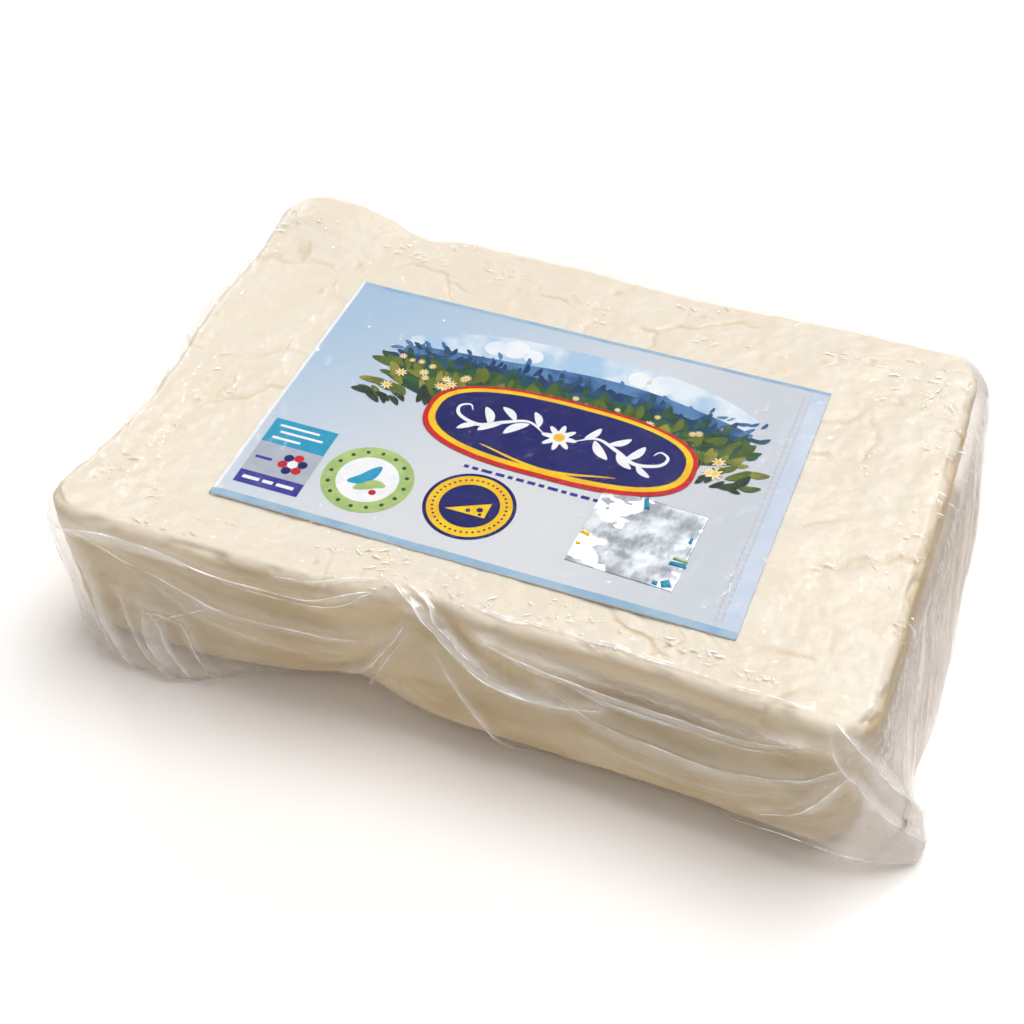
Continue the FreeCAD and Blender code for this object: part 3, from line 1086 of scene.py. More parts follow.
FRONT_FOLDS = [
    # the fold that follows the rim to the pinch, and its twin
    Fold(on_front((-76, 28), (-69, 30.4), (-60.6, 30.9), (-49.7, 30.7), (-43.7, 30.1),
                  (-36.9, 29.6), (-24.8, 29.8), (-18.3, 30.8), (-12, 31.8)), 2.4, 0.30, 0.6,
         0.17),
    Fold(on_front((-40, 28.0), (-30, 28.1), (-20, 29.4), (-12, 31.6)), 1.6, 0.25, 0.5, 0.14),
    Fold(on_front((-30, 31.2), (-22, 31.8), (-14, 33.4), (-9, 32.8)), 0.8, 0.3, 0.4, 0.14),
    # the main crease: over the rim, through the pinch and away along the right half
    Fold(on_front((-15, 34.6), (-10, 33.6), (-5, 31.4), (-0.8, 29.6), (1.9, 25.9), (6.5, 21.8),
                  (9.8, 20), (13, 18.7), (18.8, 18.0), (23.9, 18.4), (30, 19.2)), -1.5, 0.45,
         0.8, 0.26),
    Fold(on_front((-1.4, 31.0), (1.9, 28.4), (4.5, 25.6), (7.4, 23.0), (10.2, 20.8)), -1.2, 0.5,
         0.6, 0.2),
    Fold(on_front((-9, 35.0), (-4.5, 32.8), (-0.4, 30.4), (1.2, 27.2)), -1.0, 0.4, 0.5, 0.16),
    # the ragged line along the rim of the right half, in three pieces
    Fold(on_front((3, 33.6), (8, 33.9), (13, 33.3), (18, 33.8), (24, 33.2)), 0.9, 0.34, 0.25,
         0.15),
    Fold(on_front((22, 34.0), (27, 33.3), (33, 33.9), (38, 33.5), (44, 34.1), (49, 33.4)), 1.1,
         0.4, 0.25, 0.17),
    Fold(on_front((47, 33.8), (53, 33.3), (59, 34.0), (64, 33.5), (68, 34.2)), 0.9, 0.36, 0.25,
         0.14),
    # the broad glossy band of the right half, and the lines below it
    Fold(on_front((9.9, 29.6), (14, 28.4), (23.8, 25.9), (30, 24.3), (36.9, 23.7), (49.7, 24.4),
                  (56, 25.4), (64, 28.5)), 4.4, 0.72, 0.8, 0.13, 0.35),
    Fold(on_front((14, 27.0), (20.2, 25.0), (29.9, 21.5), (35.5, 20.9), (47, 21), (55.6, 22.3),
                  (64, 25)), 1.4, 0.36, 0.5, 0.12),
    Fold(on_front((20.2, 20.5), (24.3, 19.4), (32.4, 16.7), (41.5, 16.2), (49.7, 16.1),
                  (55.6, 16.9), (62.8, 19), (70, 22)), 3.0, 0.24, 0.5, 0.1, 0.6),
    Fold(on_front((30, 13.4), (40, 12.2), (52, 12.6), (63, 15.4)), 2.2, 0.16, 0.4, 0.0),
    Fold(on_front((-0.6, 22.6), (5, 15.4), (8.8, 10.9), (13.1, 5.8), (16.6, 3.0), (21, 0.9)),
         -1.0, 0.18, 0.4, 0.12),
    # the left half: the sweep at half height, the notch, the corner and the doubled tab
    Fold(on_front((-66, 30.2), (-63, 28.7), (-56.2, 26.3), (-48.5, 22.7), (-42.7, 20.6),
                  (-36.4, 19.9), (-25.7, 20.2), (-19.8, 20.3), (-12.7, 21.8), (-8, 24)), 2.4,
         0.24, 0.6, 0.16),
    Fold(on_front((-60, 26.4), (-50, 19.8), (-40, 16.6), (-28, 15.4), (-18, 15.8)), 2.6, 0.14,
         0.4, 0.0),
    Fold(on_front((-19.5, 9.4), (-13.3, 14.1), (-9.6, 20), (-7.4, 24.2), (-6.2, 27.4)), -1.2,
         0.25, 0.5, 0.14),
    Fold(on_front((-14.4, 5.5), (-11.6, 13), (-8.6, 19.5), (-5.6, 25.4)), 1.0, 0.2, 0.4, 0.13),
    Fold(on_front((-77.5, 27), (-75, 23), (-71.6, 15.9), (-66.6, 9), (-64, 2)), -1.6, 0.25, 0.5,
         0.12),
    Fold(on_front((-69.6, 26.4), (-68.3, 20), (-66.6, 12.4), (-63, 5), (-59, 0.6)), -2.2, 0.30,
         0.6, 0.13),
    Fold(on_front((-62, 18), (-59, 9), (-53, 2.2), (-46, 0.9)), -1.2, 0.2, 0.4, 0.08),
    Fold(on_front((-56.8, 16.0), (-56.9, 10.4), (-54.0, 4.3), (-51.6, 0.5)), -4.6, 0.26, 0.5,
         0.12, 0.6),
    Fold(on_front((-55.2, 15.7), (-51.5, 6.6), (-47.5, 0.7)), -1.0, 0.3, 0.4, 0.09),
    Fold(on_front((-56.9, 15.8), (-53, 15.9), (-48.9, 14.8)), 1.0, 0.3, 0.5, 0.09),
    Fold(on_front((-49.4, 15.2), (-46.4, 8), (-44.4, 3.2), (-42.8, 0.6)), 1.0, 0.3, 0.4, 0.11),
    Fold(on_front((-55.4, 14.2), (-49, 17.2), (-43.6, 20.2)), 0.8, 0.2, 0.5, 0.12),
    # the front right corner and the ear
    Fold(on_front((70.0, 32.6), (74.2, 29.0), (77.6, 20), (82.4, 10), (86, 2.6)), -2.0, 0.42,
         0.8, 0.2),
    Fold(on_front((68.8, 31.8), (71.4, 25), (75.4, 15), (80, 6), (84, 1.2)), -1.8, 0.3, 0.7,
         0.15),
    Fold(on_front((58, 9.5), (64, 13.2), (68.6, 18.4), (72, 24.5)), 2.2, 0.3, 0.7, 0.17),
    Fold(on_front((60, 17.8), (65, 19.8), (69.5, 24), (72, 29)), 1.6, 0.2, 0.5, 0.12),
    Fold(on_front((54, 5.8), (62, 6.4), (70, 5.2), (79, 1.6)), 1.7, 0.26, 0.6, 0.14),
]


class FoldMaker:
    """Draws the folds that run down the other walls, from seeded places."""

    def __init__(self, seed: int) -> None:
        """Start the draw."""
        self.draw = np.random.default_rng(seed)

    def sweep(self, place: Callable[..., tuple[Spot, ...]], start: float, end: float,
              count: int, lean: tuple[float, float], milk: tuple[float, float],
              lined: float) -> list[Fold]:
        """Draw folds that start at the rim and sweep down along a wall.

        Args:
            place: turns a place along the wall and a height into walk and profile.
            start: where along the wall the first fold starts.
            end: where the last one starts.
            count: how many there are.
            lean: the least and most that a fold runs along the wall on its way down.
            milk: the least and most milkiness.
            lined: the share of folds that have a crisp line.

        Returns:
            The folds.
        """
        folds = []
        for share in np.linspace(0, 1, count):
            top = start + (end - start) * share + self.draw.uniform(-2.5, 2.5)
            run = self.draw.uniform(*lean)
            high = self.draw.uniform(27, 32.6)
            low = self.draw.uniform(0.6, 9)
            mid = low + (high - low) * self.draw.uniform(0.35, 0.55)
            points = place((top, high), (top + 0.22 * run, 0.75 * high + 0.25 * low),
                           (top + 0.55 * run, mid), (top + run, low))
            side = 1 if self.draw.random() < 0.5 else -1
            line = self.draw.uniform(0.09, 0.17) if self.draw.random() < lined else 0.0
            folds.append(Fold(points, side * self.draw.uniform(1.2, 2.8),
                              self.draw.uniform(*milk), self.draw.uniform(0.3, 0.9), line))
        return folds


@dataclass
class FilmSurface:
    """The film's grid of points, looked up by walk and profile."""

    points: Array
    profile: Array
    total: float
    lowest: float = 0.04

    def __post_init__(self) -> None:
        """Work out the outward direction at every point of the grid."""
        along = np.roll(self.points, -1, 1) - np.roll(self.points, 1, 1)
        self.ways = unit(np.cross(along, np.gradient(self.points, axis=0)))

    def at(self, spots: Array, lift: Array | float) -> tuple[Array, Array]:
        """Place spots of walk and profile on the film.

        Args:
            spots: walk and profile, the two last.
            lift: how far off the film each lies, in millimetres.

        Returns:
            The points and the outward directions there.
        """
        flat = spots.reshape(-1, 2)
        rows, around = self.profile.shape
        column = (flat[:, 0] % self.total) / self.total * around
        first = column.astype(int) % around
        across = (column - np.floor(column))[:, None]
        found, ways = np.zeros((len(flat), 3)), np.zeros((len(flat), 3))
        for side, weight in ((first, 1 - across), ((first + 1) % around, across)):
            profile = self.profile[:, side]
            row = np.clip((profile <= flat[:, 1]).sum(0), 1, rows - 1)
            here = np.arange(len(flat))
            low, high = profile[row - 1, here], profile[row, here]
            up = np.clip((flat[:, 1] - low) / np.maximum(high - low, TINY), 0, 1)[:, None]
            for grid, target in ((self.points, found), (self.ways, ways)):
                target += weight * (grid[row - 1, side] * (1 - up) + grid[row, side] * up)
        ways = unit(ways)
        found = found + ways * np.broadcast_to(lift, spots.shape[:-1]).reshape(-1, 1)
        found[:, 2] = np.maximum(found[:, 2], self.lowest)
        return found.reshape(*spots.shape[:-1], 3), ways.reshape(*spots.shape[:-1], 3)


@dataclass
class MeshGather:
    """Collects closed shapes, with haze and gleam for each vertex, to make one piece."""

    vertices: list[Array] = field(default_factory=list)
    faces: list[Array] = field(default_factory=list)
    haze: list[Array] = field(default_factory=list)
    gleam: list[Array] = field(default_factory=list)
    count: int = 0

    def add(self, vertices: Array, faces: Sequence[Array], haze: Array | float,
            gleam: Array | float) -> None:
        """Add one shape.

        Args:
            vertices: its vertices.
            faces: its faces, in groups of one kind.
            haze: how milky it is, at each vertex or all over.
            gleam: how strongly it shines there.
        """
        self.vertices.append(vertices)
        self.faces += [np.asarray(part) + self.count for part in faces]
        self.haze.append(np.broadcast_to(haze, len(vertices)))
        self.gleam.append(np.broadcast_to(gleam, len(vertices)))
        self.count += len(vertices)

    def piece(self, name: str, slot: Slot, finish: bpy.types.Material) -> bpy.types.Object:
        """Make the piece.

        Args:
            name: its name.
            slot: not used.
            finish: its material.

        Returns:
            The new object, with its haze and gleam stored.
        """
        faces = [face for part in self.faces for face in part.tolist()]
        made = new_piece(name, np.vstack(self.vertices), faces, finish)
        set_attribute(made, "haze", np.concatenate(self.haze))
        set_attribute(made, "gleam", np.concatenate(self.gleam))
        return made


class Drape:
    """How the film's skin is pushed and clouded in each of its zones.

    The zones are numbers from 0 to 1 for each point: on the top, below it, beside the label,
    the curtain of slack film on the right wall, and the slack film of the front left.
    """

    ripples = GradientNoise(41)
    path_steps = 14
    clear_haze = 0.004
    wall_haze = 0.018
    slack_haze = 0.2
    rim_haze = 0.28
    ear_haze = 0.32

    def __init__(self, points: Array, ways: Array, walk: Array, profile: Array) -> None:
        """Work out the zones.

        Args:
            points: the skin with its swells.
            ways: its outward directions.
            walk: each station's walk.
            profile: each point's way up the profile.
        """
        self.points, self.lean, self.walk = points, ways[..., 2], walk[None, :]
        self.on_top = smooth_step(self.lean, 0.3, 0.95)
        self.below = 1 - self.on_top
        self.beside = beside_label(points)
        start = 2 * FRONT_START + 4.0
        end = start + 2 * SIDE_START + 2 * ARC
        self.right = (smooth_step(self.walk, start - 6, start + 10)
                      * (1 - smooth_step(self.walk, end - 14, end)))
        self.curtain = self.right * self.below
        self.slack = (smooth_step(self.walk, -30.0, -6.0)
                      * (1 - smooth_step(self.walk, 20.0, 44.0)) * self.below)
        self.spots = np.stack(np.broadcast_arrays(self.walk, profile), -1)
        along, up = self.spots[..., 0], self.spots[..., 1]
        nought = np.zeros_like(up)
        self.fall = np.stack([along + 1.1 * up, up * 0.16, nought], -1)
        self.sweep = np.stack([along * 0.25, up + 0.1 * along, nought], -1)
        self.steep = 1 - smooth_step(self.lean + 0.25 * self.ripples.at(points, 7.0), 0.5, 0.97)

    def push(self, gap: float) -> Array:
        """Follow the curd's lumps where the film is tight, and add ripples where it is slack.

        The ripples sweep down and forward on the right wall, and along the others.

        Args:
            gap: how far the film lies off the curd, in millimetres.

        Returns:
            How far each point moves outwards, in millimetres.
        """
        noise = self.ripples.at
        lumps = CURD.broad(self.points) + 0.55 * CURD.small(self.points)
        off_floor = smooth_step(self.points[..., 2], 1.0, 8.0)
        out = lumps * (self.beside * off_floor * (1 - 0.8 * self.curtain)) + gap * self.beside
        falling = 0.8 * noise(self.fall, 17.0) + 0.16 * noise(self.fall + 60, 6.0)
        out = out + self.curtain * falling
        out = out + self.below * (1 - self.curtain) * 0.4 * noise(self.sweep + 20, 6.0)
        return out + self.slack * (0.3 + 0.4 * noise(self.sweep + 80, 9.0))

    def ridges(self, out: Array, folds: Sequence[Fold]) -> tuple[Array, Array]:
        """Raise a soft ridge, a bell curve across, along the path of each fold.

        Args:
            out: how far each point moves outwards so far.
            folds: the folds.

        Returns:
            The same with the ridges, and how strongly the skin gleams on them.
        """
        gleam = np.zeros_like(out)
        for fold in folds:
            near, _ = away_from_path(self.spots, smooth_path(fold.points, self.path_steps))
            ridge = bell(near, 1.1 + 0.3 * abs(fold.width)) * self.below
            out = out + 0.8 * fold.lift * ridge
            gleam = np.maximum(gleam, 0.5 * fold.milk * ridge)
        return out, gleam

    def creases(self) -> Array:
        """Return the fine creases of the tight film on the top, in millimetres."""
        noise = self.ripples.at
        creased = noise(self.points + 140, (6.0, 1.9, 4.0)) * noise(self.points, 9.0)
        streaks = 1 - np.abs(noise(self.points + 170, (8.0, 2.2, 4.0)))
        tight = smooth_step(noise(self.points + 230, 13.0), -0.25, 0.35)
        return self.on_top * self.beside * (0.34 * creased + 0.16 * tight * (streaks**5 - 0.4))

    def haze(self) -> Array:
        """Return how milky the skin is: slack walls, the front under its rim, and the ear."""
        x, y, z = np.moveaxis(self.points, -1, 0)
        upright = 1 - smooth_step(self.lean, 0.1, 0.8)
        low_down = 1 - smooth_step(z, 2.0, 18.0)
        hanging = self.right * self.steep * (0.2 + 0.36 * upright)
        hanging = hanging * (1 + 0.65 * low_down) + 0.13 * self.slack * low_down
        under_rim = (bell(z - 28.0, 3.5) * self.below * smooth_step(x, 2.0, 20.0)
                     * smooth_step(-y, 42.0, 48.0))
        ear = bell(x - 76.0, 13.0) * bell(y + 58.0, 13.0) * (1 - smooth_step(z, 6.0, 24.0))
        veil = 1 + 0.5 * self.ripples.at(self.sweep + 40, 5.0)
        past_corner = 0.1 + 0.9 * smooth_step(self.walk, -14.0, 2.0)
        return (self.clear_haze + self.wall_haze * self.below
                + self.slack_haze * self.slack * veil * past_corner + hanging
                + self.rim_haze * under_rim + self.ear_haze * ear)

    def milk_painted_shade(self, height: Array) -> Array:
        """Return how far the milk is darkened with painted shade, high on the right wall: 0 to 1.
        """
        return self.right * self.steep * smooth_step(height, 19.0, 30.0)


@dataclass
class FilmBag:
    """The film: tight on the top, slack and folded round the walls."""

    form: PackForm = FILM_FORM
    counts: RingCounts = RingCounts(around=700, underside=3, base=8, wall=34, rim=12,
                                    margin=56, field=18)
    finish: FilmFinish = field(default_factory=FilmFinish)
    gap: float = 0.22
    over_label: float = 0.42
    lowest: float = 0.05
    band_rows: int = 44
    band_columns: int = 10
    band_lift: float = 0.15
    band_thickness: float = 0.09
    line_rows: int = 60
    line_lift: float = 0.16
    most_line_milk: float = 0.6
    tube_sides: int = 8
    wrinkle_rows: int = 16
    wrinkle_count: int = 420
    in_cluster: int = 7

    def build(self) -> None:
        """Shape the film and dress it.

        The surface is the rounded block plus all swells, moved along its outward directions as
        the drape says.  Over the label it lies level, just above the sheet's wave.
        """
        plain, ways, walk, profile = self.form.skin(self.counts, hem_at)
        swelled = swollen(plain, film=True)
        drape = Drape(swelled, ways, walk, profile)
        out, gleam = drape.ridges(drape.push(self.gap), FRONT_FOLDS)
        points = swelled + ways * (out + drape.creases())[..., None]
        level = LABEL_TOP + self.over_label + sheet_wave(points[..., :2] - LABEL_CENTRE)
        points[..., 2] += (1 - drape.beside) * drape.on_top * (level - points[..., 2])
        points[..., 2] = np.maximum(points[..., 2], self.lowest)
        finish = self.finish.material()
        vertices, faces = closed_skin(points)
        film = new_piece("film_skin", vertices, faces, finish)
        for name, values in (("milk_painted_shade", drape.milk_painted_shade(points[..., 2])), ("haze", drape.haze()),
                             ("gleam", gleam)):
            set_attribute(film, name, pole_values(values))
        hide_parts("bag")
        surface = FilmSurface(points, profile, self.form.girth())
        maker = FoldMaker(57)
        right = maker.sweep(on_right, -27, 47, 18, (-34, -18), (0.06, 0.22), 0.25)
        left = maker.sweep(on_left, -40, 40, 9, (-14, 14), (0.04, 0.12), 0.0)
        back = maker.sweep(on_back, -66, 66, 20, (-22, 22), (0.05, 0.15), 0.25)
        for name, folds in (("front", FRONT_FOLDS), ("right", right), ("left", left),
                            ("back", back)):
            self.folds(name, folds, surface, finish)
        self.wrinkles(surface, finish)

    def band(self, fold: Fold, surface: FilmSurface, gather: MeshGather) -> None:
        """Lay a fold's milky band: widest in its middle and highest along its line.

        Args:
            fold: the fold.
            surface: the film that it lies on.
            gather: takes its shape.
        """
        rows, columns = self.band_rows, self.band_columns
        path = smooth_path(fold.points, rows)
        taper = np.sin(math.pi * np.linspace(0.02, 0.98, rows)) ** 0.6
        across = np.linspace(0, 1, columns)
        reach = right_of(path)[:, None] * (fold.width * taper)[:, None, None]
        spots = path[:, None] + reach * across[None, :, None]
        lift = fold.lift * (1 - across[None, :]) ** 1.6 * taper[:, None] + self.band_lift
        top, _ = surface.at(spots, lift)
        under, _ = surface.at(spots, lift - self.band_thickness)
        milk = (fold.milk * (1 - across[None, :]) ** fold.fade * taper[:, None]).ravel()
        faces = sheet_faces(rows, columns)
        if fold.width < 0:
            faces = [part[:, ::-1] for part in faces]
        gather.add(np.vstack([top.reshape(-1, 3), under.reshape(-1, 3)]), faces,
                   np.tile(0.85 * milk + 0.01, 2), np.tile(0.35 * milk, 2))

    def thread(self, fold: Fold, surface: FilmSurface, gather: MeshGather) -> None:
        """Lay a fold's bright line: a flattened tube that thins towards both ends.

        Two sine waves along it, begun at the fold's own place, make it thicker and thinner.

        Args:
            fold: the fold.
            surface: the film that it lies on.
            gather: takes its shape.
        """
        rows, sides = self.line_rows, self.tube_sides
        path = smooth_path(fold.points, rows)
        taper = np.sin(math.pi * np.linspace(0.01, 0.99, rows)) ** 0.5
        spots, ways = surface.at(path, fold.lift * taper + self.line_lift)
        side = unit(np.cross(unit(np.gradient(spots, axis=0)), ways))
        turn = round_angles(sides)
        place = np.linspace(0, 1, rows)
        pulse = np.sin(place * 17 + path[0, 0]) + np.sin(place * 41 + 2.0 * path[0, 1])
        radius = (fold.line * taper * (0.85 + 0.25 * pulse))[:, None, None]
        tube = (spots[:, None] + side[:, None] * radius * np.cos(turn)[None, :, None]
                + ways[:, None] * radius * 0.7 * np.sin(turn)[None, :, None])
        wall, *fans = tube_faces(rows, sides)
        faces = [wall[:, ::-1], *(fan[:, [0, 2, 1]] for fan in fans)]
        strength = np.append(np.repeat(np.clip(0.6 + 0.3 * pulse, 0.1, 1), sides), [0.1, 0.1])
        strength = min(self.most_line_milk, fold.milk + 0.1) * strength
        gather.add(np.vstack([tube.reshape(-1, 3), spots[[0, -1]]]), faces, strength, strength)

    def folds(self, name: str, folds: Sequence[Fold], surface: FilmSurface,
              finish: bpy.types.Material) -> None:
        """Make two pieces of a wall's folds: their bands and their bright lines.

        Args:
            name: the wall's name.
            folds: its folds.
            surface: the film that they lie on.
            finish: their material.
        """
        bands, threads = MeshGather(), MeshGather()
        for fold in folds:
            self.band(fold, surface, bands)
            if fold.line:
                self.thread(fold, surface, threads)
        for part, gather in (("folds", bands), ("lines", threads)):
            if not gather.count:
                continue
            piece = gather.piece(f"film_{part}_{name}", Slot.FILM, finish)
            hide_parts("bag")

    def wrinkles(self, surface: FilmSurface, finish: bpy.types.Material) -> None:
        """Scatter short raised wrinkles over the film's top, in clusters that lean alike.

        Args:
            surface: the film that they lie on.
            finish: their material.
        """
        draw = np.random.default_rng(77)
        gather = MeshGather()
        start = RIM_FOOT + RIM_ARC
        rows, sides = self.wrinkle_rows, self.tube_sides
        faces = tube_faces(rows, sides)
        share = np.linspace(-1, 1, rows)
        turn = round_angles(sides)
        cluster, lean = np.zeros(2), 0.0
        for count in range(self.wrinkle_count):
            if count % self.in_cluster == 0:
                cluster = np.array([draw.uniform(0, surface.total),
                                    start + draw.uniform(-1.0, 16.0)])
                lean = draw.normal(-8, 22)
            walk, inward = cluster + draw.normal(0, (3.2, 1.3))
            spot, _ = surface.at(np.array([[walk % surface.total, inward]]), 0.0)
            middle = spot[0, :2]
            off = np.abs(middle - LABEL_CENTRE) - LABEL_SIZE[:2] / 2
            if off.max() < 1.5:
                continue
            long = 0.25 + 1.1 * draw.random() ** 2.2
            angle = math.radians(draw.normal(lean, 16))
            way = np.array([math.cos(angle), math.sin(angle)])
            across = np.array([-way[1], way[0]])
            bend = draw.uniform(-0.35, 0.35) * long
            line = middle + way * (share * long)[:, None] + across * (bend * share**2)[:, None]
            width = draw.uniform(0.09, 0.23) * (1 - share**2) ** 0.6 + 0.01
            level = spot[0, 2] + 0.03
            flat = line[:, None] + across * (width[:, None] * np.cos(turn))[..., None]
            height = level + 0.3 * width[:, None] * np.sin(turn)
            tube = np.concatenate([flat, height[..., None]], -1)
            ends = np.array([[*line[0], level], [*line[-1], level]])
            bright = draw.random() ** 2
            gather.add(np.vstack([tube.reshape(-1, 3), ends]), faces, 0.1 + 0.8 * bright,
                       0.35 * bright)
        piece = gather.piece("film_wrinkles", Slot.FILM, finish)
        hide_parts("bag")


# The label and its print

def srgb(red: int, green: int, blue: int) -> Colour:
    """Turn a screen colour of 0 to 255 into linear light."""
    def channel(value: int) -> float:
        """Turn one channel."""
        share = value / 255
        return share / 12.92 if share <= 0.04045 else ((share + 0.055) / 1.055) ** 2.4

    return channel(red), channel(green), channel(blue)


class Ink(Enum):
    """The colours that the label is printed in."""

    SKY = PrintFinish("ink_sky", srgb(170, 200, 228), srgb(222, 232, 242), 9.0)
    CLOUD = PrintFinish("ink_cloud", srgb(238, 242, 246), srgb(222, 232, 242), 6.0)
    FAR_BANK = PrintFinish("ink_far_bank", srgb(86, 132, 178), srgb(48, 88, 142), 5.0)
    DEEP_BANK = PrintFinish("ink_deep_bank", srgb(18, 50, 98), srgb(30, 80, 104), 5.0)
    FOREST = PrintFinish("ink_forest", srgb(24, 66, 44), srgb(46, 88, 52), 2.5)
    MEADOW = PrintFinish("ink_meadow", srgb(96, 112, 34), srgb(66, 90, 34), 5.0)
    PASTURE = PrintFinish("ink_pasture", srgb(142, 142, 52), srgb(112, 116, 38), 3.5)
    SHADE = PrintFinish("ink_shade", srgb(26, 44, 34), srgb(46, 66, 40), 2.0)
    CREAM = PrintFinish("ink_cream", srgb(247, 232, 202), srgb(234, 204, 158), 1.6)
    NAVY = PrintFinish("ink_navy", srgb(8, 12, 92), srgb(12, 18, 102), 6.0)
    STRIP = PrintFinish("ink_strip", srgb(46, 46, 142), srgb(60, 62, 154), 2.0)
    RED = PrintFinish("ink_red", srgb(206, 30, 38), srgb(190, 26, 34), 4.0)
    GOLD = PrintFinish("ink_gold", srgb(246, 206, 20), srgb(240, 186, 24), 4.0)
    WHITE = PrintFinish("ink_white", srgb(244, 245, 248), srgb(236, 238, 243), 3.0)
    LEAF = PrintFinish("ink_leaf", srgb(176, 200, 128), srgb(160, 186, 112), 3.0)
    TEAL = PrintFinish("ink_teal", srgb(32, 148, 188), srgb(40, 156, 192), 3.0)
    GREY = PrintFinish("ink_grey", srgb(178, 184, 196), srgb(170, 177, 190), 2.0)
    EDGE_BLUE = PrintFinish("ink_edge_blue", srgb(196, 209, 229), srgb(204, 214, 230), 8.0)
    PALE_BLUE = PrintFinish("ink_pale_blue", srgb(142, 178, 206), srgb(160, 190, 212), 5.0)


SHEET_NOISE = GradientNoise(71)


def sheet_wave(flat: Array) -> Array:
    """Let the label's sheet rise and sink over the curd.

    Args:
        flat: positions about the label's middle.

    Returns:
        The rise at each, in millimetres.
    """
    spots = np.concatenate([flat, np.zeros_like(flat[..., :1])], -1)
    broad = 0.16 * SHEET_NOISE.at(spots, (26.0, 18.0, 20.0))
    return broad + 0.05 * SHEET_NOISE.at(spots + 40.0, 8.0)


def slab(flat: Array, rows: int, columns: int, low: Array, high: Array) -> tuple[Array, list]:
    """Close a thin sheet over a grid of flat positions between two levels.

    Args:
        flat: the positions, row by row.
        rows: rows of them.
        columns: positions in a row.
        low: the underside's level at each.
        high: the top's level at each.

    Returns:
        The vertices and the faces.
    """
    vertices = np.vstack([np.concatenate([flat, level[:, None]], -1) for level in (high, low)])
    return vertices, [face for part in sheet_faces(rows, columns) for face in part.tolist()]


